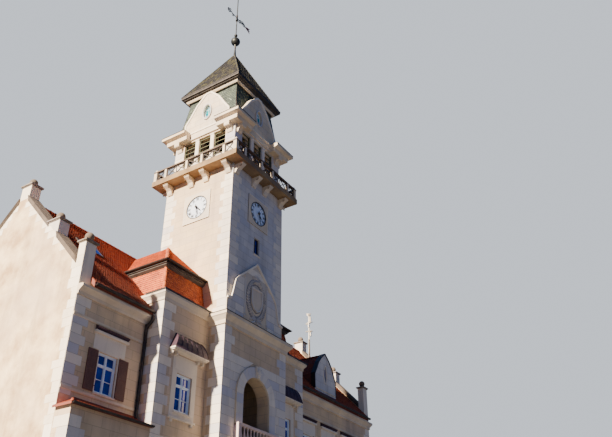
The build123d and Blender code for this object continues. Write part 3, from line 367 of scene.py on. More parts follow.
# Materials
class Paint:
    """A procedural finish, put together from nodes."""

    def __init__(self, name, roughness=0.85, metallic=0):
        self.data = bpy.data.materials.new(name)
        self.data.use_nodes = True
        self.tree = self.data.node_tree
        self.shader = self.tree.nodes["Principled BSDF"]
        self.shader.inputs["Roughness"].default_value = roughness
        self.shader.inputs["Metallic"].default_value = metallic
        self.place = self.tree.nodes.new("ShaderNodeTexCoord").outputs["Object"]

    def node(self, kind, inputs, **settings):
        node = self.tree.nodes.new(kind)
        for name, value in settings.items():
            setattr(node, name, value)
        for name, value in inputs.items():
            if isinstance(value, bpy.types.NodeSocket):
                self.tree.links.new(value, node.inputs[name])
            elif isinstance(value, tuple) and len(value) == 3 and "Color" in str(name):
                node.inputs[name].default_value = (*value, 1)
            else:
                node.inputs[name].default_value = value
        return node

    def noise(self, scale, detail=5, stretch=(1, 1, 1), rough=0.55):
        place = self.place
        if stretch != (1, 1, 1):
            place = self.node("ShaderNodeMapping", {"Vector": place, "Scale": stretch}).outputs[0]
        return self.node("ShaderNodeTexNoise", {"Vector": place, "Scale": scale, "Detail": detail,
                                                "Roughness": rough}).outputs["Fac"]

    def joints(self, length, height, width):
        """A shade for each block and the joints between them, on walls along either axis."""
        parts = self.node("ShaderNodeSeparateXYZ", {"Vector": self.place}).outputs
        along = self.node("ShaderNodeMath", {0: parts["X"], 1: parts["Y"]}).outputs[0]
        place = self.node("ShaderNodeCombineXYZ", {"X": along, "Y": parts["Z"]}).outputs[0]
        blocks = self.node("ShaderNodeTexBrick", {
            "Vector": place, "Color1": (0, 0, 0), "Color2": (1, 1, 1), "Scale": 1.0,
            "Mortar Size": width * MM, "Mortar Smooth": 0.3, "Brick Width": length * MM,
            "Row Height": height * MM})
        return blocks.outputs["Color"], blocks.outputs["Fac"]

    def tint(self):
        return self.node("ShaderNodeAttribute", {}, attribute_name="tint").outputs["Fac"]

    def ramp(self, fac, *stops):
        node = self.node("ShaderNodeValToRGB", {"Fac": fac})
        points = node.color_ramp.elements
        while len(points) < len(stops):
            points.new(0.5)
        for point, (place, colour) in zip(points, stops):
            point.position = place
            point.color = (*colour, 1) if isinstance(colour, tuple) else (colour,) * 3 + (1,)
        return node.outputs["Color"]

    def mix(self, fac, a, b):
        return self.node("ShaderNodeMixRGB", {"Fac": fac, "Color1": a, "Color2": b}).outputs[0]

    def over(self, tone, colour, mask, start, end, amount):
        """The tone with a colour laid over it, from where a mask passes start, full at end."""
        return self.mix(self.ramp(mask, (start, 0.0), (end, amount)), tone, colour)

    def complete(self, tone, *bumps):
        """Gives the shader its colour and its bumps, each a height, a depth and a strength."""
        self.tree.links.new(tone, self.shader.inputs["Base Color"])
        values = {}
        for height, depth, strength in bumps:
            values |= {"Height": height, "Distance": depth * MM, "Strength": strength}
            values["Normal"] = self.node("ShaderNodeBump", values).outputs[0]
            self.tree.links.new(values["Normal"], self.shader.inputs["Normal"])
        return self.data


def stone_paint(name, light, dark, cool, grime_and_shade, use_tint=False, streak=0.35, mottle=1.3,
                coursed=0):
    """Weathered stone or plaster: mottled, with run-off streaks, pits and fine grain."""
    paint = Paint(name, 0.9)
    tone = paint.ramp(paint.noise(mottle, 6), (0.32, dark), (0.66, light))
    if use_tint:
        block = paint.ramp(paint.tint(), (0.0, grime_and_shade), (0.12, cool), (0.5, dark), (1.0, light))
        tone = paint.mix(0.74, tone, block)
    else:
        tone = paint.over(tone, cool, paint.noise(0.45, 3), 0.45, 0.7, 0.75)
    if coursed:
        shade, gap = paint.joints(560, 263.6, 9)
        tone = paint.over(tone, cool, shade, 0.3, 1.0, 0.45)
        tone = paint.over(tone, grime_and_shade, gap, 0.0, 1.0, coursed)
    tone = paint.over(tone, grime_and_shade, paint.noise(2.4, 5, (1, 1, 0.12), 0.6), 0.5, 0.82, streak)
    tone = paint.over(tone, grime_and_shade, paint.noise(38, 4), 0.62, 0.75, 0.35)
    return paint.complete(tone, (paint.noise(170, 6, rough=0.7), 1.6, 0.6),
                        (paint.noise(14, 4), 5, 0.35))


def tile_paint(name, light, mid, dark, moss, use_tint=True):
    """Fired clay tiles, each of its own shade, with soot and lichen."""
    paint = Paint(name, 0.82)
    tone = paint.ramp(paint.noise(1.1, 5), (0.35, dark), (0.5, mid), (0.68, light))
    if use_tint:
        single = paint.ramp(paint.tint(), (0.0, dark), (0.45, mid), (1.0, light))
        tone = paint.mix(0.62, tone, single)
    tone = paint.over(tone, moss, paint.noise(3.5, 6), 0.55, 0.78, 0.5)
    return paint.complete(tone, (paint.noise(140, 5), 1.5, 0.5))


def slate_paint(name, base, second, lichen, pale, amount):
    """Riven slates with patches of lichen and pale weathering."""
    paint = Paint(name, 0.62)
    tone = paint.mix(paint.tint(), base, second)
    tone = paint.over(tone, lichen, paint.noise(4.5, 6, rough=0.6), 0.5, 0.6, amount)
    tone = paint.over(tone, pale, paint.noise(11, 5), 0.6, 0.66, amount)
    return paint.complete(tone, (paint.noise(90, 5), 2, 0.5))


def metal_paint(name, base, second, roughness=0.5, metallic=0.4, rust=None):
    """Painted or oxidised sheet with drifting sheen and stains."""
    paint = Paint(name, roughness, metallic)
    tone = paint.ramp(paint.noise(5, 6), (0.36, base), (0.68, second))
    if rust:
        tone = paint.over(tone, rust, paint.noise(13, 6), 0.58, 0.7, 0.8)
    sheen = paint.ramp(paint.noise(24, 4), (0.3, roughness * 0.75), (0.7, roughness * 1.2))
    paint.tree.links.new(sheen, paint.shader.inputs["Roughness"])
    return paint.complete(tone, (paint.noise(60, 4), 0.8, 0.4))


def wood_paint(name, base, second, upright=True):
    """Painted wood whose grain shows through."""
    paint = Paint(name, 0.6)
    grain = paint.noise(90, 5, (1, 1, 0.08) if upright else (0.08, 1, 1))
    tone = paint.ramp(grain, (0.35, base), (0.7, second))
    tone = paint.over(tone, second, paint.noise(7, 5), 0.6, 0.8, 0.4)
    return paint.complete(tone, (grain, 1.2, 0.5))


def painted_reflection_glass(name, base, second):
    """Dark glossy panes whose colours, drifting between two tones, are a painted sky reflection."""
    paint = Paint(name, 0.06)
    paint.shader.inputs["Specular IOR Level"].default_value = 0.8
    tone = paint.ramp(paint.noise(1.7, 3), (0.4, base), (0.6, second))
    return paint.complete(tone, (paint.noise(3, 2), 1.5, 0.25))


soot = (0.17, 0.135, 0.105)
warm = ((0.80, 0.66, 0.47), (0.60, 0.48, 0.33), (0.52, 0.47, 0.44), soot)
stone = stone_paint("stone", *warm)
gable_stone = stone_paint("gable_stone", *warm, coursed=0.45)
blocks = stone_paint("block_stone", (0.86, 0.76, 0.62), (0.62, 0.56, 0.50), (0.46, 0.46, 0.56),
                     (0.20, 0.17, 0.15), True)
plaster = stone_paint("plaster", (0.78, 0.58, 0.35), (0.56, 0.42, 0.26), (0.52, 0.40, 0.31), soot,
                      streak=0.5, coursed=0.35)
# A cooler, bluer copy of the plaster for the end walls of the shaft and the belfry and for the
# dormer's front: its blue is painted sky light of the shaded street side.
shade_blue_plaster = stone_paint("shade_blue_plaster", (0.78, 0.71, 0.62), (0.58, 0.53, 0.48),
                            (0.42, 0.43, 0.50), soot, streak=0.5, coursed=0.4)
party = stone_paint("party_plaster", (0.88, 0.68, 0.43), (0.47, 0.31, 0.17), (0.60, 0.46, 0.34),
                    (0.26, 0.17, 0.10), streak=0.6, mottle=2.0)
ochre = stone_paint("ochre_stone", (0.37, 0.25, 0.125), (0.20, 0.125, 0.06), (0.19, 0.13, 0.09),
                    (0.10, 0.06, 0.04), streak=0.6, mottle=2.2)
ochre_blocks = stone_paint("ochre_blocks", (0.40, 0.27, 0.14), (0.24, 0.155, 0.08),
                           (0.34, 0.25, 0.18), (0.10, 0.06, 0.04), True)
pale_stone = stone_paint("pale_stone", (0.82, 0.72, 0.58), (0.66, 0.58, 0.48),
                         (0.52, 0.53, 0.59), soot, True)
party_blocks = stone_paint("party_blocks", (0.92, 0.84, 0.72), (0.84, 0.72, 0.56),
                           (0.74, 0.64, 0.50), (0.44, 0.36, 0.27), True)
pink_stone = stone_paint("pink_stone", (0.78, 0.60, 0.53), (0.62, 0.46, 0.42),
                         (0.54, 0.44, 0.45), soot, True)
ball_stone = stone_paint("ball_stone", (0.25, 0.19, 0.14), (0.13, 0.10, 0.075),
                         (0.38, 0.32, 0.27), (0.10, 0.08, 0.06), True)
weathered = stone_paint("weathered_stone", (0.30, 0.235, 0.17), (0.12, 0.092, 0.07),
                        (0.34, 0.31, 0.32), soot, streak=0.6, mottle=3.0)
old_coping = stone_paint("old_coping", (0.17, 0.125, 0.09), (0.07, 0.05, 0.038),
                         (0.10, 0.085, 0.085), soot, streak=0.6, mottle=3.0)
# Its darkest colour, at the lowest tint, is both dirt and the painted shade of the rings behind the
# wreath.
carved = stone_paint("carved_stone", (0.74, 0.68, 0.62), (0.52, 0.48, 0.46),
                     (0.34, 0.33, 0.37), (0.10, 0.09, 0.09), True)
floor_paint = stone_paint("floor_screed", (0.5, 0.48, 0.45), (0.4, 0.38, 0.35),
                          (0.50, 0.46, 0.44), soot)
clay = tile_paint("tiles", (0.62, 0.152, 0.036), (0.44, 0.090, 0.024), (0.22, 0.038, 0.018),
                  (0.12, 0.05, 0.04))
old_clay = tile_paint("old_tiles", (0.34, 0.075, 0.026), (0.23, 0.042, 0.018),
                      (0.12, 0.024, 0.014), (0.10, 0.085, 0.06))
clay_bed = tile_paint("tile_bed", (0.26, 0.07, 0.04), (0.18, 0.045, 0.03), (0.11, 0.03, 0.022),
                      (0.06, 0.03, 0.022), False)
green_slate = slate_paint("green_slate", (0.018, 0.028, 0.024), (0.048, 0.066, 0.052),
                          (0.085, 0.115, 0.07), (0.34, 0.40, 0.32), 0.65)
brown_slate = slate_paint("brown_slate", (0.011, 0.010, 0.011), (0.030, 0.026, 0.024),
                          (0.11, 0.10, 0.032), (0.075, 0.072, 0.062), 0.7)
eave_paint = metal_paint("eave_boards", (0.038, 0.029, 0.024), (0.075, 0.059, 0.048), 0.7, 0)
dark_metal = metal_paint("dark_sheet", (0.022, 0.017, 0.016), (0.050, 0.036, 0.032), 0.45, 0.3)
hood_sheet = metal_paint("hood_sheet", (0.034, 0.012, 0.024), (0.060, 0.026, 0.044), 0.6, 0.1,
                         (0.10, 0.06, 0.07))
# White dial paint tinted blue: the blue is painted sky light on the front dials, which lie in
# shade.
shade_blue_dial_paint = metal_paint("dial_white_shade_blue", (0.64, 0.72, 0.88), (0.78, 0.84, 0.95), 0.4, 0)
black_paint = metal_paint("black_paint", (0.008, 0.008, 0.010), (0.022, 0.020, 0.022), 0.45, 0)
iron_paint = metal_paint("railing_iron", (0.025, 0.020, 0.020), (0.060, 0.042, 0.035), 0.55, 0.3,
                         (0.13, 0.06, 0.035))
rail_paint = metal_paint("rail_brown", (0.080, 0.048, 0.030), (0.14, 0.088, 0.054), 0.6, 0.1,
                         (0.26, 0.17, 0.10))
copper_paint = metal_paint("old_copper", (0.020, 0.022, 0.020), (0.060, 0.062, 0.055), 0.45, 0.6,
                           (0.11, 0.05, 0.035))
flag_paint = metal_paint("flag_red", (0.20, 0.045, 0.030), (0.32, 0.09, 0.06), 0.5, 0.2,
                         (0.40, 0.22, 0.10))
mast_paint = metal_paint("mast_paint", (0.60, 0.52, 0.40), (0.78, 0.70, 0.58), 0.5, 0.1)
white_paint = wood_paint("white_paint", (0.66, 0.78, 0.92), (0.84, 0.89, 0.95))
shutter_paint = wood_paint("shutter_brown", (0.11, 0.045, 0.032), (0.17, 0.075, 0.052))
louvre_paint = wood_paint("louvre_green", (0.080, 0.086, 0.040), (0.15, 0.15, 0.078), False)
door_paint = wood_paint("door_oak", (0.12, 0.055, 0.025), (0.20, 0.10, 0.05))
# The deep blue of the panes and the teal of the oval panes are painted reflections of the sky.
glass = painted_reflection_glass("glass", (0.002, 0.011, 0.19), (0.005, 0.032, 0.42))
oval_glass = painted_reflection_glass("oval_glass", (0.0, 0.15, 0.21), (0.0, 0.34, 0.38))

finishes = {"stone_dressing": stone, "render": plaster, "party_wall": party,
            "floor": floor_paint, "tiles": clay_bed, "slate": green_slate,
            "dark_eave": eave_paint, "hood_metal": hood_sheet, "gutter_metal": dark_metal,
            "window_paint": white_paint, "glass": glass, "shutter_paint": shutter_paint,
            "louvre_paint": louvre_paint, "door_wood": door_paint, "dial": shade_blue_dial_paint,
            "hands": black_paint, "railing": iron_paint, "rail_paint": rail_paint,
            "copper": copper_paint}
# The end walls and the dormer's front take the plaster with the painted sky-blue shade.
special = {"balcony_slab": ochre, "belfry_gables": gable_stone, "spire_roof": brown_slate,
           "shaft_end_walls": shade_blue_plaster, "belfry_end_walls": shade_blue_plaster,
           "dormer_front": shade_blue_plaster}
slots = {part["node"]: part["material_slot"] for part in frame["record"]["subparts"]}
for name, node in nodes.items():
    node.data.materials.clear()
    node.data.materials.append(special.get(name, finishes[slots[name]]))


# Ashlar and quoins
def quoins(pile, x, y, out_x, out_y, z0, z1, height=course, long=500, short=350):
    """L-shaped blocks up a corner of the building, their legs long and short in turn."""
    def legs(along_x, along_y, reach):
        return [(x + out_x * reach, y + out_y * reach), (x - out_x * along_x, y + out_y * reach),
                (x - out_x * along_x, y - out_y), (x - out_x, y - out_y),
                (x - out_x, y - out_y * along_y), (x + out_x * reach, y - out_y * along_y)]
    count = round((z1 - z0) / height)
    pitch = (z1 - z0) / count
    pile.slab(plan, legs(short, short, 1.2), z0, z1, tint=0)
    for index in range(count):
        low = z0 + pitch * index
        sizes = (long, short) if index % 2 else (short, long)
        pile.slab(plan, legs(*sizes, 5), low + joint, low + pitch - joint, 4, both=True)


def row(pile, side, left, right, z0, z1, length, proud=5):
    """One course of blocks between two ends, each end given low and high."""
    start = max(left)
    span = min(right) - start
    if span < 60:
        return
    count = max(1, round(span / length))
    cuts = [start + span * (index + pile.chance.uniform(-0.12, 0.12)) / count
            for index in range(1, count)]
    ends = [left] + [(cut, cut) for cut in cuts] + [right]
    pile.slab(side, [(left[0], z0), (right[0], z0), (right[1], z1), (left[1], z1)], 0, 1.2, tint=0)
    low = z0 + joint
    high = z1 - joint
    for a, b in zip(ends, ends[1:]):
        outline = [(a[0] + joint, low), (b[0] - joint, low), (b[1] - joint, high),
                   (a[1] + joint, high)]
        pile.slab(side, outline, 0, proud, 3)


def arch_half(z, half, spring):
    """Half the width at a level of a round-headed shape."""
    if z <= spring:
        return half
    return math.sqrt(max(0, half * half - (z - spring) ** 2))


def tower_ashlar():
    """Quoins of the tower's base and shaft, and the coursed blocks of its front."""
    pile = Pile(3)
    front = wall(0, base_half)
    pitch = base_cornice / 33
    length = 560
    sill, head = storeys[1]
    for x in (-1, 1):
        quoins(pile, x * base_half, -base_half, x, -1, 0, base_cornice)
        quoins(pile, x * shaft_half, -shaft_half, x, -1, base_top + 25, shaft_head)
        quoins(pile, x * shaft_half, shaft_half, x, 1, ridge_height + 20, shaft_head)
    low, high = loggia_floor - 90, loggia_spring + loggia_half - 10
    for index in range(30):
        z0 = pitch * index
        z1 = z0 + pitch
        edge = base_half - (504 if index % 2 else 354)
        half = (0, 0)
        if z1 < door_spring + door_half + 20:
            half = [arch_half(z, door_half, door_spring) for z in (z0, z1)]
        elif z0 < head + 180 and z1 > sill - 140:
            half = [window_half + 125] * 2
        elif low <= z1 and z0 < high + 10:
            half = [arch_half(z, loggia_half, loggia_spring) for z in (max(z0, low), min(z1, high))]
        if max(half) > 0:
            row(pile, front, (-edge, -edge), (-half[0], -half[1]), z0, z1, length)
            row(pile, front, half, (edge, edge), z0, z1, length)
        else:
            row(pile, front, (-edge, -edge), (edge, edge), z0, z1, length)
    pile.make("tower_ashlar", blocks, "stone_dressing")


def voussoirs(pile, side, inner, outer, spring, low, base, count):
    """Wedge stones of an arch's band, and the jamb stones under them."""
    jambs = round((spring - low) / course)
    pitch = (spring - low) / jambs
    for index in range(jambs):
        z0 = low + pitch * index
        for x in (-1, 1):
            pile.boxes(side, (x * inner, x * outer, z0 + 3, z0 + pitch - 3, base, base + 6, 4))
    for index in range(count):
        if index != count // 2:
            start, end = (180 / count * index + 0.25, 180 / count * (index + 1) - 0.25)
            outline = arc(outer, start, end, 4, (0, spring))
            outline += arc(inner, end, start, 4, (0, spring))
            pile.slab(side, outline, base, base + 6, 4)


def arches():
    """Arches of the loggia and the portal, and a plain rosette on the upper keystone."""
    pile = Pile(4)
    front = wall(0, base_half)
    voussoirs(pile, front, 660, loggia_half, loggia_spring, loggia_rail, 60, 13)
    voussoirs(pile, front, 650, door_half, door_spring, 0, 0, 11)
    for half, z0, z1, low, high, bevel in ((70, 7500, 7850, 60, 122, 10),
                                           (80, 2385, 2620, 0, 50, 8)):
        key = [(-half, z0), (half, z0), (105, z1), (-105, z1)]
        pile.slab(front, key, low, high, bevel)
    for turn, size in ((-58, 0.8), (-28, 0.95), (0, 1.1), (28, 0.95), (58, 0.8)):
        angle = math.radians(90 + turn)
        bud = [(3, 0), (26 * size, 8), (30 * size, 16), (20 * size, 30), (3, 36)]
        for step in range(3):
            reach = (60 + 42 * step) * size
            pile.boss(front, reach * math.cos(angle), 7600 + reach * math.sin(angle), 122, bud, 8,
                      0.7)
    pile.boss(front, 0, 7590, 122, [(4, 0), (52, 6), (56, 20), (34, 40), (4, 46)], 14, 0.8)
    pile.make("arch_stones", blocks, "stone_dressing")


def wall_quoins():
    pile = Pile(5)
    side = wall(0, front_face)
    top = 8220
    for x in (-1, 1):
        quoins(pile, x * risalit_edge, -risalit_face, x, -1, 0, risalit_top - 4)
        quoins(pile, x * left_end, -bay_face, x, -1, 0, 5130)
    for left, right, low in ((-left_end, -5700, 5700), (9300, right_end, 0)):
        count = round((top - low) / course)
        pitch = (top - low) / count
        for index in range(count):
            z0 = low + pitch * index
            step = 75 if index % 2 else -75
            ends = (left, right + step) if left < 0 else (left - step, right)
            row(pile, side, (ends[0],) * 2, (ends[1],) * 2, z0, z0 + pitch, 900)
    pitch = (top - 5990) / 8
    for x in (-risalit_edge, risalit_edge):
        for index in range(8):
            low = 5990 + pitch * index
            edge = x + math.copysign(60, x)
            pile.boxes(side, (x, edge, low + 3, low + pitch - 3, 0, 8, 3))
    pile.make("wall_quoins", blocks, "stone_dressing")


belfry_gable = both_halves([(1080, gable_foot), (1080, 17640), (830, 18000), (570, 18434),
                            (130, 18880)])


def belfry_stones():
    pile = Pile(6)
    for turn in range(4):
        side = wall(turn, belfry_half)
        out = turned([(-1, -1, 0)], turn)[0]
        quoins(pile, out.x * belfry_half, out.y * belfry_half, round(out.x), round(out.y),
               balcony_top, 16370, 262, 425, 425)
        for x in (-352, 352):
            pile.boxes(side, (x - 82, x + 82, 15560, 16660, 0, 26, 14, 0.85),
                       (x - 92, x + 92, 16600, 16680, 0, 40, 8, 0.8),
                       (x - 92, x + 92, 15550, 15610, 0, 40, 8, 0.7))
        pile.boxes(side, (-980, 980, 15490, 15550, 0, 45, 10, 0.7),
                   (-700, 700, 17020, 17075, 50, 78, 8, 0.9),
                   (-700, 700, 16750, 16785, 50, 62, 6, 0.8))
        pile.rim(side, belfry_gable, 84, 0, 28, 10, 1.0)
        pile.rim(side, oval(222, 40, belfry_oval, 1.72), oval(176, 40, belfry_oval, 1.90), 28, 52,
                 10, 0.2)
    pile.make("belfry_stones", blocks, "stone_dressing")


# Party gables
def gable_line(y):
    """Top of a party wall's slope, under its coping."""
    return roof_top(y) + 150


def gable_steps(facing):
    """Pedestals of a gable: where each begins and ends from front to ridge, and its top."""
    eave = 9740 if facing < 0 else 9950
    return ((-front_face, -220, eave), (850, 1300, gable_line(1300) + 10),
            (ridge_place - 205, ridge_place + 205, ridge_height + 410))


def on_gable(points, facing, rear):
    """Points of a gable's front half, or of its rear half, as they lie on its wall."""
    return [(facing * (2 * ridge_place - y if rear else y), z) for y, z in points]


def strip(a, b, low, high):
    """A strip along a gable's slope, between two places and two heights over its line."""
    return [(a, gable_line(a) + low), (b, gable_line(b) + low), (b, gable_line(b) + high),
            (a, gable_line(a) + high)]


def coping(pile, side, facing, rear, a, b):
    """Five stepped mouldings along a gable's slope, and five ribs on top of them."""
    for low, high, reach in coping_steps:
        pile.slab(side, on_gable(strip(a, b, low, high), facing, rear), -gable_wall - reach, reach,
                  6, both=True)
    pitch = (gable_wall + 100) / 5
    for index in range(5):
        low = -gable_wall - 50 + pitch * index
        pile.slab(side, on_gable(strip(a, b, 70, 86), facing, rear), low + 6, low + pitch - 6, 5,
                  both=True)


def gables():
    """Plain party walls with stepped parapets, their copings, caps and balls."""
    walls, tops, mouldings, faces, balls = (Pile(seed) for seed in (57, 58, 61, 62, 46))
    for turn, face, facing in ((3, left_end, -1), (1, right_end, 1)):
        side = wall(turn, face)
        eave, middle, apex = gable_steps(facing)
        half = [(-front_face, 0), (-front_face, eave[2]), (eave[1], eave[2]),
                (eave[1], gable_line(eave[1])), (middle[0], gable_line(middle[0])),
                (middle[0], middle[2]), (middle[1], middle[2]),
                (middle[1], gable_line(middle[1])), (apex[0], gable_line(apex[0])),
                (apex[0], apex[2])]
        walls.slab(side, on_gable(half, facing, False) + on_gable(half[::-1], facing, True),
                   -gable_wall, 0)
        for rear in (False, True):
            coping(mouldings, side, facing, rear, eave[1], middle[0])
            coping(mouldings, side, facing, rear, middle[1], apex[0])
            for y0, y1, z in (eave, middle) if rear else (eave, middle, apex):
                foot = [gable_line(y0), gable_line(y1 if z == middle[2] else y0)]
                if z == eave[2]:
                    foot = [pedestal_foot] * 2
                facing_line = [(y0 - 4, foot[0]), (y1 + 4, foot[1]), (y1 + 4, z), (y0 - 4, z)]
                faces.slab(side, on_gable(facing_line, facing, rear), -gable_wall - 4, 2)
                for low, high, reach in ((0, 26, 26), (26, 75, 58)):
                    cap = rect(y0 - reach, y1 + reach, z + low, z + high)
                    tops.slab(side, on_gable(cap, facing, rear), -gable_wall - reach, reach, 8,
                              both=True)
                y = 2 * ridge_place - (y0 + y1) / 2 if rear else (y0 + y1) / 2
                place = (facing * (face - gable_wall / 2), y, z)
                balls.lathe([(74, 74), (74, 84), (50, 96), (52, 150)], 20, place, 0.5)
                balls.lathe(sphere(128, 240, 12), 24, place)
    piece = walls.make("party_walls", party, "party_wall")
    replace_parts(piece, "gable_walls")
    piece = tops.make("gable_caps", weathered, "stone_dressing")
    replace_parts(piece, "gable_tops")
    balls.make("stone_balls", ball_stone, "stone_dressing")
    mouldings.make("coping_mouldings", old_coping, "stone_dressing")
    faces.make("pedestal_faces", pale_stone, "stone_dressing")


def party_stones():
    """Uneven dressed stones along the edges of the plain party walls."""
    pile = Pile(7)
    for turn, face, facing in ((3, left_end, -1), (1, right_end, 1)):
        side = wall(turn, face)
        eave = gable_steps(facing)[0][2]
        for rear in (False, True):
            z = 0
            while z < party_top - 250:
                top = min(z + pile.chance.choice((210, 250, 290, 330)), party_top)
                if z < eave < top:
                    top = eave
                depth = pile.chance.uniform(190, 440)
                y0, y1 = -front_face, -front_face + depth
                if z >= eave:
                    y0 = valley(z - 150)
                    y1 = y0 + depth + 80
                elif z > gable_line(-220):
                    y1 = min(y1, -226)
                outline = rect(y0, min(y1, ridge_place), z + 3, top - 3)
                if z >= eave:
                    low, high = ((y, gable_line(y) - 6) for y in (-400, ridge_place))
                    outline = clip(outline, high, low)
                outline = on_gable(outline, facing, rear)
                if len(outline) > 2 and abs(area(outline)) > 6000:
                    pile.slab(side, outline, 0, 6, 4)
                z = top
    pile.make("party_stones", party_blocks, "stone_dressing")


# Flashings, gutters and pipes
def half_pipe(radius, w, z):
    """Section of a half-round gutter at a distance out and a height."""
    return arc(radius, 180, 360, 7, (w, z)) + arc(radius - 8, 360, 180, 7, (w, z))


def sheet_metal():
    pile = Pile(8)
    base = [(-base_half, -risalit_face), (-base_half, -base_half), (base_half, -base_half),
            (base_half, -risalit_face)]
    pile.band(base, [(192, 9092), (192, 9112), (-118, 9156), (-118, 9136), (180, 9096)])
    edge_x, edge_y = upper_eave
    for x in (-1, 1):
        ledge = [(x * base_half, -risalit_face), (x * risalit_edge, -risalit_face),
                 (x * risalit_edge, -400)]
        pile.band(ledge[::x], [(78, 9150), (140, 9150), (140, 9196), (78, 9196)])
        eave = [(x * shaft_half, -edge_y), (x * edge_x, -edge_y), (x * edge_x, 1080)]
        pile.band(eave[::x], half_pipe(52, 46, 10440))
        pile.band(eave[::x], [(-4, 10346), (12, 10346), (12, 10438), (-4, 10438)])
        pent = [(x * risalit_edge, -pent_edge), (x * (pent_end - 10), -pent_edge)]
        pile.band(pent[::x], half_pipe(48, 30, 5372))
        pipe = 3670 * x
        pile.tube([(pipe, y, z) for y, z in ((-722, 8440), (-722, 8350), (-690, 8290),
                                             (-545, 8180), (-515, 8110), (-515, 7900))], 47, 12)
        for z in (6100, 6900, 7700):
            pile.tube([(pipe, -515, z), (pipe, -515, z + 24)], 53, 12)
            pile.tube([(pipe, -515, z + 12), (pipe, -472, z + 12)], 9, 6)
    corner = [(-belfry_half, -700, 0), (-belfry_half, -belfry_half, 0), (-700, -belfry_half, 0)]
    for turn in range(4):
        pile.band(turned(corner, turn), [(396, 17030), (420, 17030), (420, 17056), (0, 17086),
                                         (0, 17071), (408, 17040)])
    square = rect(-spire_half, spire_half, -spire_half, spire_half)
    pile.band(square, [(-60, 19206), (12, 19206), (12, 19256), (-60, 19256)], True)
    for x, y in rect(-1, 1, -1, 1):
        pile.tube([(1374 * x, 1374 * y, 17072), (1114 * x, 1114 * y, 18985)], 20)
    pile.make("flashings", dark_metal, "gutter_metal")


def eave_mouldings():
    pile = Pile(9)
    square = rect(-spire_half, spire_half, -spire_half, spire_half)
    pile.band(square, [(-90, 19118), (2, 19134), (2, 19206), (-90, 19206)], True)
    pile.band(square, [(-150, 19062), (-62, 19090), (-62, 19118), (-150, 19118)], True)
    pile.make("eave_mouldings", eave_paint, "dark_eave")
    pale = Pile(10)
    pale.band(square, [(-232, 18972), (-196, 18972), (-150, 19022), (-150, 19062),
                       (-232, 19062)], True, 0.8)
    pale.make("eave_bed_mould", stone, "stone_dressing")


# Roof coverings
def cover(pile, corners, height, thick, tail=20, width=86, skip=None, tilt=2):
    """Overlapping tiles or slates with cut lower corners, clipped to a sloped outline."""
    side, outline = roof_side(corners)
    if area(outline) < 0:
        outline = outline[::-1]
    left, v0 = (min(values) for values in zip(*outline))
    right, high = (max(values) for values in zip(*outline))
    level = 0
    while v0 < high:
        u0 = left - (level % 2) * width / 2
        top = v0 + height + tail
        while u0 < right:
            u1 = u0 + width - 1.5
            tile = [(u0 + 0.28 * width, v0), (u0 + 0.72 * width, v0), (u1, v0 + tail), (u1, top),
                    (u0, top), (u0, v0 + tail)]
            for a, b in pairs(outline):
                if tile and any(left_of(p, a, b) < 0 for p in tile):
                    tile = clip(tile, a, b)
            u0 += width
            count = len(tile)
            if count < 3 or abs(area(tile)) < 0.12 * width * height:
                continue
            if skip and skip(side.at(*(sum(values) / count for values in zip(*tile)))):
                continue
            lift = thick + pile.chance.uniform(-tilt, tilt)
            points = [side.at(u, v, max(0.4, lift - (lift - 2) * (v - v0) / height))
                      for u, v in tile]
            points += [side.at(u, v, -1) for u, v in tile]
            faces = [list(range(count))]
            for index in range(count):
                after = (index + 1) % count
                if min(tile[index][1], tile[after][1]) < top - 2:
                    faces.append([index, count + index, count + after, after])
            pile.add(points, faces)
        level += 1
        v0 += height


def ridge(pile, start, end, radius, pitch=190, sink=0.35):
    """Half-round ridge tiles that overlap along a line."""
    start = Vector(start)
    end = Vector(end)
    ahead = (end - start).normalized()
    across = Vector((0, 0, 1)).cross(ahead).normalized()
    up = ahead.cross(across)
    count = max(1, round((end - start).length / pitch))
    step = (end - start) / count
    for index in range(count):
        rings = []
        for share, size in ((0, 1.12), (0.12, 1.12), (0.13, 1.0), (1.06, 0.94)):
            middle = start + step * (index + share) - sink * radius * up
            rings.append([middle + radius * size * (x * across + y * up)
                          for x, y in arc(1, 180, 0, 6)])
        pile.rings(rings, None, True)


def main_slope(start, end, rear=False):
    """Corners of the main roof's front or rear slope between two places along it."""
    return [(x, 2 * ridge_place - y if rear else y, roof_top(y))
            for x, y in ((start, roof_low), (end, roof_low), (end, roof_high), (start, roof_high))]


def covered(point):
    """Whether the dormer or a risalit's roof stands over a place on the main front slope."""
    if abs(point.x - dormer_x) < 760 and point.z < 9800 and point.y < 600:
        return True
    x = abs(point.x)
    if point.y < -430 and x < 3650:
        return True
    if point.z < hip_foot:
        return x < 3410
    return x < upper_eave[0] + 20 - (point.z - hip_foot) * 1800 / (hip_top - hip_foot)


def roofs():
    for name, seed, left, right, start in (("tiles_front_left", 11, -5775, -shaft_half, -5775),
                                           ("tiles_front_right", 12, shaft_half, 9395,
                                            -shaft_half)):
        pile = Pile(seed)
        cover(pile, main_slope(left, right), 80, 21, skip=covered)
        ridge(pile, (start, ridge_place, ridge_height), (right, ridge_place, ridge_height), 70)
        pile.make(name, old_clay, "tiles")
    rear = Pile(13)
    cover(rear, main_slope(9395, -5775, True), 84, 15, 18)
    rear.make("tiles_rear", old_clay, "tiles")
    upper_roofs()
    risalits()
    low_roofs()


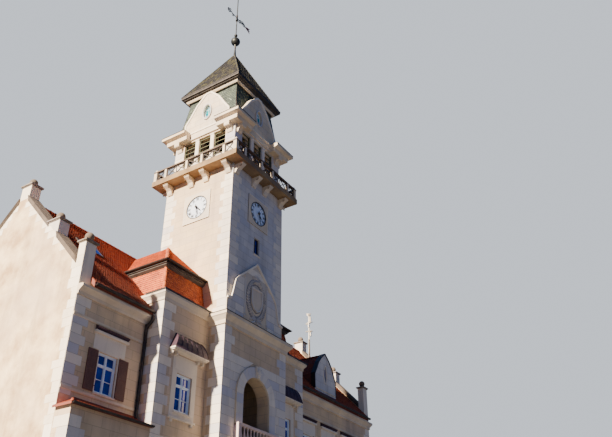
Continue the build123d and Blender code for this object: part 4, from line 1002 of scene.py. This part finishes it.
def upper_roofs():
    """Bodies of the set-back steep roofs, of their boxed eaves and of the shallow roofs."""
    steep, eaves, hips = (Pile(seed) for seed in (60, 61, 62))

    def corner(x, reach, z):
        back = valley(z) + 90
        points = [(x * shaft_half, -reach[1], z), (x * reach[0], -reach[1], z),
                  (x * reach[0], back, z), (x * shaft_half, back, z)]
        return points[::x]
    for x in (-1, 1):
        steep.rings([corner(x, (3660, 1075), mansard_foot), corner(x, mansard_ledge, ledge_top),
                     corner(x, mansard_head, mansard_top)])
        eaves.rings([corner(x, (3190, 530), mansard_top - 30), corner(x, (3275, 615), 10305),
                     corner(x, (3275, 615), 10335), corner(x, upper_eave, 10345),
                     corner(x, upper_eave, hip_foot)], 0.5)
        low = corner(x, upper_eave, hip_foot)[::x]
        high = [(x * shaft_half, 1800 - upper_eave[1], hip_top),
                (x * shaft_half, valley(hip_top) + 90, hip_top)]
        faces = [[0, 1, 4], [1, 2, 5, 4], [2, 3, 5], [3, 0, 4, 5], [3, 2, 1, 0]]
        hips.add(low + high, [face[::x] for face in faces])
    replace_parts(steep.make("mansard_bodies", clay_bed, "tiles"), "risalit_mansards")
    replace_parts(eaves.make("boxed_eaves", eave_paint, "dark_eave"), "risalit_eaves")
    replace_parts(hips.make("hip_bodies", clay_bed, "tiles"), "risalit_hips")


def cover_corner(pile, x, inner, low, high, height, thick):
    """Tiles on the front and the outer face of a risalit's roof, left at x -1, right at 1.

    low and high each say how wide, how far out, how far back and how high an edge is."""
    (low_x, low_y, low_back, low_z), (top_x, top_y, top_back, top_z) = low, high
    front = [(inner, -low_y, low_z), (low_x, -low_y, low_z), (top_x, -top_y, top_z),
             (inner, -top_y, top_z)]
    end = [(low_x, -low_y, low_z), (low_x, low_back, low_z), (top_x, top_back, top_z),
           (top_x, -top_y, top_z)]
    for face in (front, end):
        face = [(x * across, y, z) for across, y, z in dict.fromkeys(face)]
        cover(pile, face[::x], height, thick)


def risalits():
    """Tiles of the steep and the shallow roofs over the two risalits."""
    pile = Pile(14)
    low_x, low_y = mansard_ledge
    top_x, top_y = mansard_head
    edge_x, edge_y = upper_eave
    hip_y = 1800 - edge_y

    def back(z):
        return valley(z) + 60, z
    for x in (-1, 1):
        cover_corner(pile, x, 1640, (3670, 1085, -100, mansard_foot + 6),
                     (3345, 685, 0, ledge_top + 4), 76, 13)
        cover_corner(pile, x, shaft_half, (low_x, low_y, *back(ledge_top)),
                     (top_x, top_y, *back(mansard_top)), 80, 20)
        ridge(pile, (x * (low_x - 5), -low_y + 5, ledge_top + 20),
              (x * (top_x + 5), -top_y - 5, mansard_top - 20), 50)
        cover_corner(pile, x, shaft_half, (edge_x, edge_y, *back(hip_foot)),
                     (shaft_half, -hip_y, *back(hip_top)), 80, 20)
        ridge(pile, (x * (edge_x - 15), -edge_y + 15, hip_foot + 25),
              (x * 1530, hip_y - 30, hip_top - 15), 58)
    flat = [(-shaft_half, 1510, hip_top), (shaft_half, 1510, hip_top),
            (shaft_half, 2700, hip_top + 2), (-shaft_half, 2700, hip_top + 2)]
    cover(pile, flat, 76, 10)
    pile.make("tiles_risalits", clay, "tiles")


def low_roofs():
    """Tiles of the pent roofs over the bays and of the dormer."""
    pile = Pile(15)
    top_x = 5685
    for x in (-1, 1):
        front = [(risalit_edge, -pent_edge, pent_eave), (pent_end, -pent_edge, pent_eave),
                 (top_x, -front_face, pent_top), (risalit_edge, -front_face, pent_top)]
        end = [(pent_end - 13, -pent_edge, pent_eave), (pent_end - 13, -front_face, pent_eave),
               (top_x, -front_face, pent_top)]
        for face in (front, end):
            cover(pile, [(x * across, y, z) for across, y, z in face][::x], 76, 13)
        ridge(pile, (x * 6165, -1060, pent_eave + 28), (x * 5700, -490, pent_top + 5), 40)
        pile.boxes(wall(0, front_face), (x * risalit_edge, x * 5690, 5640, 5690, 0, 45, 6, 0.3))
    outline = [(750, 9500), (460, 10020), (0, 10440)]
    for x in (-1, 1):
        for (xa, za), (xb, zb) in zip(outline, outline[1:]):
            xa, xb = dormer_x + x * xa, dormer_x + x * xb
            corners = [(xa, -310, za), (xa, valley(za), za), (xb, valley(zb), zb), (xb, -310, zb)]
            cover(pile, corners[::x], 76, 12, 18)
    ridge(pile, (dormer_x, -305, 10450), (dormer_x, valley(10440), 10450), 55)
    pile.make("tiles_low", old_clay, "tiles")


def behind_gable(point):
    """Whether a gable of the belfry stands in front of a place on the steep slate roof."""
    inside = min(abs(point.x), abs(point.y))
    if inside > belfry_gable[0][0] - 0.3:
        return False
    for (xa, za), (xb, zb) in zip(belfry_gable[1:5], belfry_gable[2:5]):
        if za <= point.z <= zb and inside < xa + (xb - xa) * (point.z - za) / (zb - za):
            return True
    return point.z < belfry_gable[1][1]


def slates():
    steep = Pile(16)
    face = [(-1370, -1370, gable_foot), (1370, -1370, gable_foot), (1116, -1116, 19100),
            (-1116, -1116, 19100)]
    for turn in range(4):
        cover(steep, turned(face, turn), 104, 12, 34, 118, behind_gable, 1.5)
    steep.make("slates_steep", green_slate, "slate")
    spire = Pile(17)
    face = [(-spire_half, -spire_half, 19245), (spire_half, -spire_half, 19245),
            (50, -50, spire_top - 10), (-50, -50, spire_top - 10)]
    hip = [(-1418, -1418, 19262), (-52, -52, spire_top - 15)]
    for turn in range(4):
        cover(spire, turned(face, turn), 104, 12, 34, 118, tilt=1.5)
        ridge(spire, *turned(hip, turn), 34, 150, 0.5)
    spire.make("slates_spire", brown_slate, "slate")


# Windows
def street_windows():
    rows = []
    for sill, head in storeys:
        rows += [(x, risalit_face, sill, head) for x in (-risalit_window, risalit_window)]
        if sill < top_sill:
            rows += [(x, bay_face, sill, head) for x in (-wing_window, wing_window)]
            rows += [(x, front_face, sill, head) for x in (7000, 8500)]
    rows += [(x, front_face, top_sill, top_head) for x in (-wing_window,) + right_windows]
    rows.append((0, base_half, *storeys[1]))
    return [(wall(0, face), x, sill, head) for x, face, sill, head in rows]


def rear_windows():
    pitch = (left_end + right_end) / 7
    side = wall(2, rear_face)
    return [(side, -(pitch * (index + 0.5) - left_end), sill, head) for index in range(7)
            for sill, head in storeys]


all_windows = street_windows() + rear_windows()


def casements():
    """Frames, sashes, mullions and glazing bars close behind the walls' faces."""
    pile, panes, dark = (Pile(seed) for seed in (20, 24, 25))
    low, high = -104, -72
    inner = window_half - 34
    for side, x, sill, head in all_windows:
        outer = rect(x - window_half, x + window_half, sill, head)
        pile.rim(side, outer, 34, low, -48, 6)
        panes.slab(side, inset(outer, 30), -112, -106)
        transom = sill + 0.7 * (head - sill)
        pile.boxes(side, (x - 17, x + 17, sill + 32, head - 32, low, high + 14, 6),
                   (x - inner, x + inner, transom - 20, transom + 20, low, high + 20, 6),
                   (x - inner - 4, x + inner + 4, sill + 30, sill + 62, low, -44, 6))
        middle = (sill + 34 + transom - 20) / 2
        for a, b in ((x - inner, x - 17), (x + 17, x + inner)):
            for z0, z1 in ((sill + 34, transom - 20), (transom + 20, head - 34)):
                pile.rim(side, rect(a, b, z0, z1), 17, low, high, 5)
            pile.boxes(side, (a + 16, b - 16, middle - 8, middle + 8, low, high - 8, 3))
    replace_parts(pile.make("casements", white_paint, "window_paint"), "window_frames")
    side = wall(0, shaft_half)
    half, sill, head = small_window
    outer = rect(-half, half, sill, head)
    dark.rim(side, outer, 30, -110, -74, 5)
    dark.boxes(side, (-12, 12, sill + 15, head - 15, -110, -86, 4),
               (15 - half, half - 15, sill + 405, sill + 427, -110, -84, 4))
    dark.make("small_casement", dark_metal, "window_paint")
    panes.slab(side, inset(outer, 12), -118, -111)
    panes.slab(wall(0, front_face), oval(84, 24, dormer_oval, 3.8), -60, -50)
    for turn in range(4):
        panes.slab(wall(turn, belfry_half), oval(160, 24, belfry_oval, 2.0), -100, -92)
    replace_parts(panes.make("panes", glass, "glass"), "window_panes")


def ledges():
    """Window sills with ears, and the thin ledges and brackets under the curved hoods."""
    pile = Pile(26)
    for side, x, sill, head in all_windows:
        pile.boxes(side, (x - 355, x + 355, sill - 48, sill, 0, 56, 10, 0.8))
    side = wall(0, risalit_face)
    for x in (-risalit_window, risalit_window):
        pile.boxes(side, (x - 722, x + 722, 7565, hood_foot, 0, 246, 8, 0.9),
                   (x - 700, x + 700, 7535, 7565, 0, 205, 14, 0.7))
        for place in (x - 640, x - 455, x + 455, x + 640):
            pile.boxes(side, (place - 34, place + 34, 7440, 7536, 0, 120, 26, 0.6))
    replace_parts(pile.make("ledges", pale_stone, "stone_dressing"), "window_sills")


def surrounds():
    """Raised stone frames round the windows, with their panels, ledges and brackets."""
    pile = Pile(21)
    for side, x, sill, head in all_windows:
        inner = rect(x - window_half, x + window_half, sill, head)
        if sill < top_sill or side.origin.y > 0:
            pile.rim(side, rect(x - 430, x + 430, sill - 60, head + 115), inner, 0, 14, 6, 0.7)
            pile.boxes(side, (x - 465, x + 465, head + 115, head + 165, 0, 52, 10, 0.7))
        elif abs(x) == risalit_window:
            pile.rim(side, rect(x - 500, x + 500, 5800, 7495), inner, 0, 9, 5, 0.75)
            pile.boxes(side, (x - 530, x + 530, 5742, 5800, 0, 62, 10, 0.7),
                       (x - 455, x - 365, 5660, 5742, 0, 46, 12, 0.6),
                       (x + 365, x + 455, 5660, 5742, 0, 46, 12, 0.6),
                       (x - 430, x + 430, 7090, 7420, 9, 15, 5, 0.85))
        else:
            pile.boxes(side, (x - 540, x + 540, 7040, 7438, 0, 9, 5, 0.9),
                       (x - 580, x + 580, 7442, 7508, 0, 84, 10, 0.85))
            pile.rim(side, rect(x - 350, x + 350, 5925, 7038), inner, 0, 12, 4, 0.9)
    half, sill, head = small_window
    pile.boxes(wall(0, shaft_half), (-half - 35, half + 35, sill - 45, sill - 3, 0, 34, 8, 0.4))
    pile.make("window_surrounds", pale_stone, "stone_dressing")


def shutter_slats():
    pile = Pile(22)
    side = wall(0, front_face + 28)
    rails = ((top_sill + 36, 6460), (6502, top_head - 36))
    for x in (-wing_window,) + right_windows:
        for place in (-1, 1):
            middle = x + place * (window_half + 50 + 155)
            low, high = middle - 155, middle + 155
            pile.rim(side, rect(low, high, top_sill, top_head), 34, -2, 9, 4)
            pile.boxes(side, (low + 30, high - 30, rails[0][1], rails[1][0], -2, 9, 4))
            for start, end in rails:
                pitch = (end - start) / 11
                for index in range(11):
                    z = start + pitch * index
                    slat = ((z + 2, 8), (z + pitch - 6, 0), (z + pitch - 6, -3), (z + 2, 3))
                    pile.rings([[side.at(u, *point) for point in slat]
                                for u in (low + 32, high - 32)])
            hinge = middle - place * 150
            for z in (top_sill + 150, top_head - 150):
                pile.boxes(side, (hinge - 30, hinge + 30, z - 12, z + 12, 8, 13, 2, 0.1))
    pile.make("shutter_slats", shutter_paint, "shutter_paint")


def hood_seams():
    """Standing seams and rolled edges of the curved hoods, and the rolls of the flat ones."""
    pile = Pile(23)
    steps = [math.radians(7.5 * index) for index in range(13)]
    low_half, top_half = hood_half
    for middle in (-risalit_window, risalit_window):
        for place in (-1, -0.66, -0.33, 0, 0.33, 0.66, 1):
            radius, lift = (12, 0) if abs(place) == 1 else (8, 1)
            pile.tube([(middle + place * (low_half - (low_half - top_half) * math.sin(step)),
                        -risalit_face - hood_reach * math.cos(step) - 3 * lift,
                        hood_foot + hood_rise * math.sin(step) + 2 * lift)
                       for step in steps], radius, 6)
        front = -risalit_face - hood_reach - 4
        pile.tube([(middle + end, front, hood_foot + 6) for end in (-720, 720)], 14)
    for x in (-wing_window,) + right_windows:
        pile.tube([(x - 562, -567, 7576), (x + 562, -567, 7576)], 9)
    pile.make("hood_seams", hood_sheet, "hood_metal")


# Clocks
strokes = {"I": [((0, 0), (0, 1))],
           "V": [((-0.3, 1), (0, 0)), ((0.3, 1), (0, 0))],
           "X": [((-0.3, 0), (0.3, 1)), ((-0.3, 1), (0.3, 0))]}
letter_height = 88
widths = {"I": 0.34 * letter_height, "V": 0.7 * letter_height, "X": 0.7 * letter_height}
numerals = ("XII", "I", "II", "III", "IV", "V", "VI", "VII", "VIII", "IX", "X", "XI")


def bar(pile, side, a, b, width, low, high, tint=0.3):
    """A flat straight stroke between two points on a side."""
    a, b = Vector(a), Vector(b)
    across = Vector((a.y - b.y, b.x - a.x)).normalized() * width / 2
    pile.slab(side, [tuple(a - across), tuple(b - across), tuple(b + across),
                     tuple(a + across)], low, high, tint=tint)


def clocks():
    """Roman numerals, minute marks and rims of the four dials."""
    marks, rims, frames = (Pile(seed) for seed in (30, 31, 32))
    for turn in range(4):
        side = wall(turn, shaft_half + 10)
        side.origin.z = clock_height
        for hour, letters in enumerate(numerals):
            spin = Matrix.Rotation(-math.radians(30 * hour), 2)
            x = -sum(widths[letter] for letter in letters) / 2
            for letter in letters:
                middle = x + widths[letter] / 2
                for stroke in strokes[letter]:
                    a, b = (spin @ Vector((middle + letter_height * u, 302 + letter_height * v))
                            for u, v in stroke)
                    bar(marks, side, a, b, 20, 0, 4)
                x += widths[letter]
        for minute in range(60):
            spin = Matrix.Rotation(-math.radians(6 * minute), 2)
            a, b = (spin @ Vector((0, reach)) for reach in (404, 420))
            bar(marks, side, a, b, 6 if minute % 5 else 14, 0, 3)
        for radius in (400, 424, 282):
            marks.rim(side, oval(radius + 2, 60), oval(radius - 2, 60), 0, 3, tint=0.3)
        # Dark metal bezels round the dials: their dark colour is partly the bezel's own and partly
        # painted shade, standing in for the shadow the recess casts on the dial's edge.
        rims.rim(side, oval(452, 60), oval(432, 60), 0, 31, 6)
        frames.rim(side, rect(-575, 575, -575, 575), 26, 0, 26, 6, 0.9)
        rims.boss(side, 0, 0, 78, [(38, 0), (38, 6), (26, 16), (4, 20)], 20, 0.3)
    marks.make("clock_numerals", black_paint, "hands")
    rims.make("clock_rims", dark_metal, "gutter_metal")
    frames.make("clock_frames", pale_stone, "stone_dressing")


# Tower ornament
relief_side = wall(0, shaft_half + 40)
relief_edge = [(1500, 9700), (1290, 9755), (1220, 9980), (1160, 10240), (1110, 10440),
               (905, 10665), (600, 10915), (0, 11435)]


def leaf(pile, side, u, v, angle, length, width, lift):
    """A pointed leaf with a ridge down its middle."""
    ahead = length * Vector((math.cos(angle), math.sin(angle)))
    across = width / 2 * Vector((-math.sin(angle), math.cos(angle)))
    start = Vector((u, v))
    tip = start + ahead
    left, right = (start + 0.45 * ahead + sign * across for sign in (1, -1))
    points = [side.at(*start, 0), side.at(*(start + 0.5 * ahead), lift), side.at(*tip, 0.3 * lift),
              side.at(*left, 0.2 * lift), side.at(*right, 0.2 * lift)]
    points += [side.at(*point, -2) for point in (start, tip, left, right)]
    faces = [[0, 1, 3], [1, 2, 3], [1, 0, 4], [2, 1, 4], [5, 0, 3, 7], [7, 3, 2, 6], [0, 5, 8, 4],
             [4, 8, 6, 2]]
    pile.add(points, faces)


def relief_reach(z):
    """How far the coursed ashlar under the ogee moulding reaches at a height."""
    for (xa, za), (xb, zb) in zip(relief_edge, relief_edge[1:]):
        if za <= z <= zb:
            return xa + (xb - xa) * (z - za) / (zb - za) - 45
    return 1440


def relief():
    """Ogee moulding and coursed ashlar on the shaft's foot."""
    pile = Pile(40)
    foot, height = 9168, 252
    for x in (-1, 1):
        for a, b in zip(relief_edge, relief_edge[1:]):
            bar(pile, relief_side, (x * a[0], a[1]), (x * b[0], b[1]), 58, -6, 44, 0.98)
    for index in range(8):
        z0 = foot + height * index
        z1 = z0 + height
        outer = (relief_reach(z0), relief_reach(z1))
        inner = 640 if 9380 < z1 and z0 < 10900 else 0
        if inner and min(outer) > inner + 60:
            row(pile, relief_side, (-outer[0], -outer[1]), (-inner, -inner), z0, z1, 430, 4)
            row(pile, relief_side, (inner, inner), outer, z0, z1, 430, 4)
        elif not inner:
            row(pile, relief_side, (-outer[0], -outer[1]), outer, z0, z1, 430, 4)
    pile.make("relief_ashlar", blocks, "stone_dressing")


def ornament():
    """A laurel wreath with a ribbon round a plain shield, rosettes beside it, and painted shade."""
    pile = Pile(41)
    side = relief_side
    centre = (0, 10120)
    shield = both_halves([(0, 9695), (165, 9777), (270, 9925), (300, 10105), (300, 10515)])
    pile.rim(side, shield, 40, 30, 72, 8, 0.8)
    # Two thin rings tinted almost black, round the shield and behind the wreath: painted shade that
    # darkens the ground between the leaves and round the shield.
    pile.rim(side, inset(shield, -36), inset(shield, 6), -2, 12, 0, 0.02)
    pile.rim(side, oval(555, 56, centre, 1.34), oval(350, 56, centre, 1.52), -2, 8, 0, 0.02)
    for x in (-1, 1):
        for index in range(20):
            angle = math.radians(-82 + index * 8.6)
            across, up = x * 455 * math.cos(angle), 640 * math.sin(angle)
            heading = math.atan2(640 * math.cos(angle), -x * 455 * math.sin(angle))
            for lean in (-0.75, 0, 0.75):
                leaf(pile, side, across, centre[1] + up, heading + lean, 118, 38,
                     62 if lean else 80)
        for step in range(3):
            pile.boss(side, x * (120 + 90 * step), 9440 - 18 * step, 0,
                      [(30, -2), (38, 8), (34, 22), (18, 32), (3, 36)], 12, 0.6)
        ribbon = [(0, 9470), (150, 9540), (260, 9470), (190, 9390), (70, 9420)]
        tail = [(10, 9440), (90, 9400), (330, 9250), (290, 9220), (240, 9240), (60, 9350)]
        for outline, height, bevel in ((ribbon, 46, 12), (tail, 36, 10)):
            pile.slab(side, [(x * u, v) for u, v in outline], 0, height, bevel)
    for index in range(7):
        angle = math.radians(30 + 20 * index)
        leaf(pile, side, 90 * math.cos(angle), 10760 + 70 * math.sin(angle), angle, 200, 62, 64)
    pile.boss(side, 0, 10765, 0, [(70, -2), (78, 12), (66, 32), (34, 46), (4, 50)], 18, 0.6)
    for x in (-600, 600):
        for z in (9420, 10820):
            pile.boss(side, x, z, 0, [(44, -2), (50, 8), (40, 24), (20, 22), (16, 34), (4, 38)],
                      12, 0.6)
        pile.boxes(side, (x - 25, x + 25, 9490, 10750, 0, 20, 8))
    pile.make("relief_ornament", carved, "stone_dressing")


def balcony():
    """Mouldings of the gallery's slab and corbels, its coffers and its posts' caps."""
    pile = Pile(42)
    edge = rect(-balcony_half, balcony_half, -balcony_half, balcony_half)
    pile.band(edge, [(-66, balcony_top - 4), (-1, balcony_top - 4), (-12, balcony_top + 12),
                     (-60, balcony_top + 16)], True, 0.7)
    for turn in range(4):
        cut = wall(turn, 0)
        for place in (-1325, -335, 335, 1325):
            pile.boxes(wall(turn, shaft_half), (place - 118, place + 118, balcony_bottom - 49,
                                                balcony_bottom, 0, 362, 8, 0.7))
            for sign in (-1, 1):
                face = Side(cut.at(place + sign * 105, 0), sign * cut.out, (0, 0, 1))
                scroll = [sign * (shaft_half + 250), 14660]
                for radius in (58, 34):
                    pile.rim(face, oval(radius, 20, scroll), oval(radius - 12, 20, scroll), -1, 7,
                             tint=0.6)
        under = Side(cut.at(0, balcony_bottom), cut.along, -cut.out)
        for a, b in ((-1215, -445), (-225, 225), (445, 1215)):
            pile.rim(under, rect(a, b, -1880, -1530), 34, 0, 10, 4, 0.5)
    pile.make("balcony_mouldings", ochre_blocks, "stone_dressing")
    caps = Pile(43)
    profile = [(62, 0), (62, 14), (40, 22), (30, 34), (46, 52), (50, 70), (34, 92), (4, 104)]
    for x, y in rect(-1825, 1825, -1825, 1825):
        caps.lathe(profile, 16, (x, y, rail_top), 0.9)
    caps.make("post_caps", pale_stone, "stone_dressing")


def balustrade():
    """The loggia's slab, rail, posts and turned balusters."""
    pile = Pile(44)
    side = wall(0, base_half)
    half = loggia_half
    foot = loggia_floor
    pile.boxes(side, (-half, half, foot - 88, foot - 46, 0, 146, 10, 0.6),
               (-half, half, foot - 46, foot, 0, 170, 6, 0.7),
               (-half, half, foot + 455, foot + 500, 62, 168, 10, 0.85),
               (-half, half, foot + 500, loggia_rail, 56, 170, 6, 0.9))
    for x in (-1, 1):
        pile.boxes(side, (x * half, x * (half - 110), foot, foot + 455, 0, 168, 8, 0.8),
                   (x * (half - 22), x * (half - 88), foot + 60, foot + 400, 160, 170, 5, 0.9))
    profile = [(36, 0), (36, 0.07), (26, 0.09), (22, 0.13), (26, 0.17), (35, 0.25), (38, 0.36),
               (33, 0.48), (24, 0.62), (18, 0.74), (17, 0.8), (24, 0.83), (24, 0.86), (18, 0.88),
               (30, 0.93), (36, 0.94), (36, 1)]
    profile = [(radius, 455 * share) for radius, share in profile]
    for index in range(11):
        x = 1730 * ((index + 0.5) / 11 - 0.5)
        pile.lathe(profile, 18, side.at(x, foot, 115), pile.chance.uniform(0.6, 1))
    piece = pile.make("loggia_balusters", pink_stone, "stone_dressing")
    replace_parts(piece, "loggia_balustrade")


def sphere(radius, centre, count):
    """Profile of a ball about a height."""
    turns = [math.radians(-88 + 176 * index / count) for index in range(count + 1)]
    return [(max(2, radius * math.cos(turn)), centre + radius * math.sin(turn)) for turn in turns]


def finials():
    pile = Pile(45)
    for profile, count in ((sphere(199, 875, 16), 32), (sphere(74, 1255, 12), 24),
                           ([(66, -60), (76, -20), (58, 60), (40, 250), (33, 440), (44, 600),
                             (60, 640), (60, 660), (38, 690)], 24),
                           ([(38, 1060), (70, 1090), (46, 1130), (34, 1180)], 20)):
        pile.lathe(profile, count, (0, 0, spire_top), 0.5)
    pile.make("finial_skin", copper_paint, "copper")


def vane():
    """Scrolls, crescent and flag that turn with the weathervane."""
    pile = Pile(47)
    z0 = vane_height
    for start, size, turn in ((-470, 95, 1), (-300, 80, -1), (180, 100, -1), (430, 90, 1)):
        path = []
        for index in range(22):
            angle = 0.35 * index
            radius = size * (1 - index / 26)
            path.append((start + radius * math.cos(angle), 0,
                         z0 + turn * (20 + size * 0.9 - radius * math.sin(angle))))
        pile.tube(path, 12)
    crescent = arc(120, 55, 305, 16, (-560, 0)) + arc(86, 300, 60, 14, (-535, 0))
    pile.slab(Side((0, 6, z0), (1, 0, 0), (0, 0, 1)), crescent, 0, 12, 2)
    pile.make("vane_scrolls", copper_paint, "copper", "vane")
    flag = Pile(59)
    flag.slab(Side((0, 9, z0), (1, 0, 0), (0, 0, 1)),
              [(600, -20), (930, -140), (850, 0), (930, 140), (600, 20)], 0, 18, 3, 0.9)
    flag.make("vane_flag", flag_paint, "copper", "vane")


def aerials():
    """The aerial mast near the ridge, with its rungs and its rods."""
    pile = Pile(48)
    x, y = 9150, 2060
    foot = roof_top(y)
    top = 13950
    for low, high, radius, count in ((foot - 60, top, 26, 10), (foot - 20, foot + 60, 50, 12)):
        pile.tube([(x, y, low), (x, y, high)], radius, count)
    for place in (x - 60, x + 60):
        pile.tube([(place, y, foot + 40), (place, y, foot + 1150)], 12, 6)
    for z in range(round(foot) + 100, round(foot) + 1150, 105):
        pile.tube([(x - 70, y, z), (x + 70, y, z)], 10, 6)
    for index, half in enumerate((150, 210, 170)):
        spin = Matrix.Rotation(0.5 + 0.6 * index, 3, "Z")
        middle = Vector((x, y, top - 60 - 420 * index))
        boom = [middle + spin @ Vector((shift, 0, 0)) for shift in (-half, half)]
        pile.tube(boom, 14, 6)
        for step in range(6):
            middle = boom[0].lerp(boom[1], (step + 0.3) / 6)
            arm = 120 - 8 * step
            pile.tube([middle + spin @ Vector((0, shift, 0)) for shift in (-arm, arm)], 9, 5)
    for place, z in ((x + 70, top - 260), (x - 80, top - 620), (x + 80, top - 1000)):
        pile.boxes(Side((place, y - 40, z), (1, 0, 0), (0, 0, 1)),
                   (-38, 38, -120, 120, -20, 26, 8, 0.9))
        pile.tube([(x, y, z), (place, y - 20, z)], 10, 6)
    return pile


def dormer_trim():
    """Metal verge round the dormer's front, and the surround of its oval window."""
    pile = Pile(49)
    side = wall(0, front_face)
    top = both_halves([(-790, 9500), (-640, 9760), (-500, 10020), (-280, 10260), (0, 10480)])
    for (xa, za), (xb, zb) in zip(top, top[1:]):
        bar(pile, side, (dormer_x + xa, za), (dormer_x + xb, zb), 44, -160, 26, 0.4)
    for x in (dormer_x - 790, dormer_x + 790):
        bar(pile, side, (x, 8900), (x, 9505), 30, -160, 14, 0.4)
    pile.make("dormer_verge", dark_metal, "gutter_metal")
    trim = Pile(50)
    trim.rim(side, oval(140, 32, dormer_oval, 2.75), oval(86, 32, dormer_oval, 3.84), 0, 18, 6,
             0.9)
    trim.boxes(side, (dormer_x - 720, dormer_x + 720, 8905, 8950, 0, 30, 6, 0.7))
    trim.make("dormer_trim", pale_stone, "stone_dressing")


def small_panes():
    """Glazing of the belfry's oval windows and of the skylights."""
    pile, bars, frames, lights = (Pile(seed) for seed in (51, 52, 53, 54))
    for turn in range(4):
        side = wall(turn, belfry_half)
        pile.slab(side, oval(158, 32, belfry_oval, 2.03), -90, -86, 1)
        bars.rim(side, oval(160, 32, belfry_oval, 2.01), oval(138, 32, belfry_oval, 2.15), -90,
                 -60, 3, 0.5)
        bars.boxes(side, (-8, 8, 17580, 18190, -90, -68, 3),
                   *((-140, 140, z - 8, z + 8, -90, -70, 3) for z in (17740, 18030)))
    pile.make("oval_glass", oval_glass, "glass")
    bars.make("oval_bars", white_paint, "window_paint")
    for x in (-4750, -4250):
        side = Side((x, 1250, roof_top(1250)), (1, 0, 0), (0, 1, roof_slope))
        frames.rim(side, rect(-160, 160, -20, 620), 34, 0, 56, 6)
        lights.boxes(side, (-128, 128, 12, 588, 20, 42, 3))
    piece = frames.make("skylight_frames", dark_metal, "gutter_metal")
    mast = aerials().make("aerials", mast_paint, "gutter_metal")
    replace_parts(piece, "roof_fittings")
    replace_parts(mast, "roof_fittings")
    lights.make("skylight_glass", glass, "glass")


def door():
    """Panels, rails and handles of the portal's two leaves."""
    pile = Pile(55)
    side = wall(0, 1420)
    for x in (-325, 325):
        for z0, z1 in ((140, 700), (822, 1662)):
            pile.rim(side, rect(x - 228, x + 228, z0 - 8, z1 + 8), 36, -4, 12, 6)
            pile.boxes(side, (x - 150, x + 150, z0 + 90, z1 - 90, -15, -3, 10))
        pile.boxes(side, (x - 300, x + 300, 20, 90, -2, 8, 3))
    pile.boxes(side, (-22, 22, 0, 1740, 0, 16, 6), (-640, 640, 1720, 1790, 0, 20, 8))
    pile.make("door_mouldings", door_paint, "door_wood")
    iron = Pile(56)
    for x in (-1, 1):
        iron.boxes(side, (x * 40, x * 78, 1010, 1210, 0, 26, 4))
        iron.tube([side.at(x * 60, 1120, 14), side.at(x * 60, 1120, 66),
                   side.at(x * 150, 1116, 70)], 9)
    iron.make("door_handles", black_paint, "hands")


# Camera, light and floor
def add_camera():
    yaw, pitch, roll = 1.0192, 0.5598, -0.0134
    place = (-16.065, -13.375, 0.80)
    ahead = Vector((math.sin(yaw) * math.cos(pitch), math.cos(yaw) * math.cos(pitch),
                    math.sin(pitch)))
    right = Vector((math.cos(yaw), -math.sin(yaw), 0))
    up = right.cross(ahead)
    tilted_right = math.cos(roll) * right + math.sin(roll) * up
    tilted_up = math.cos(roll) * up - math.sin(roll) * right
    data = bpy.data.cameras.new("camera")
    data.lens = 39.43
    data.sensor_width = 36
    data.clip_end = 500
    camera = bpy.data.objects.new("camera", data)
    bpy.context.scene.collection.objects.link(camera)
    turn = Matrix((tilted_right, tilted_up, -ahead)).transposed().to_4x4()
    camera.matrix_world = Matrix.Translation(place) @ turn
    bpy.context.scene.camera = camera


def add_sun():
    data = bpy.data.lights.new("sun", "SUN")
    data.energy = 21.0
    data.angle = 0.03
    data.color = (1.0, 0.85, 0.66)
    lamp = bpy.data.objects.new("sun", data)
    lamp.rotation_euler = Vector((1.0, -0.14, -0.45)).to_track_quat("-Z", "Y").to_euler()
    bpy.context.scene.collection.objects.link(lamp)


def add_world():
    """Soft blue light from the sky, in front of a plain pale backdrop."""
    world = bpy.data.worlds.new("sky")
    world.use_nodes = True
    tree = world.node_tree
    light = tree.nodes["Background"]
    light.inputs["Color"].default_value = (0.15, 0.37, 1.0, 1)
    light.inputs["Strength"].default_value = 0.28
    backdrop = tree.nodes.new("ShaderNodeBackground")
    backdrop.inputs["Color"].default_value = (0.80, 0.86, 0.95, 1)
    rays = tree.nodes.new("ShaderNodeLightPath")
    blend = tree.nodes.new("ShaderNodeMixShader")
    tree.links.new(rays.outputs["Is Camera Ray"], blend.inputs[0])
    tree.links.new(light.outputs[0], blend.inputs[1])
    tree.links.new(backdrop.outputs[0], blend.inputs[2])
    tree.links.new(blend.outputs[0], tree.nodes["World Output"].inputs["Surface"])
    bpy.context.scene.world = world


def add_floor():
    mesh = bpy.data.meshes.new("floor")
    half = 60
    mesh.from_pydata([(x, y, 0) for x, y in rect(-half, half, -half, half)], [], [(0, 1, 2, 3)])
    floor = bpy.data.objects.new("floor", mesh)
    bpy.context.scene.collection.objects.link(floor)
    paint = bpy.data.materials.new("floor_paint")
    paint.use_nodes = True
    shader = paint.node_tree.nodes["Principled BSDF"]
    shader.inputs["Base Color"].default_value = (0.12, 0.125, 0.14, 1)
    shader.inputs["Roughness"].default_value = 0.9
    mesh.materials.append(paint)


for build in (add_camera, add_world, add_sun, add_floor, tower_ashlar, arches, wall_quoins,
              belfry_stones, party_stones, sheet_metal, eave_mouldings, gables, roofs, slates,
              casements, ledges, surrounds, shutter_slats, hood_seams, clocks, relief, ornament,
              balcony, balustrade, finials, vane, dormer_trim, small_panes, door):
    build()
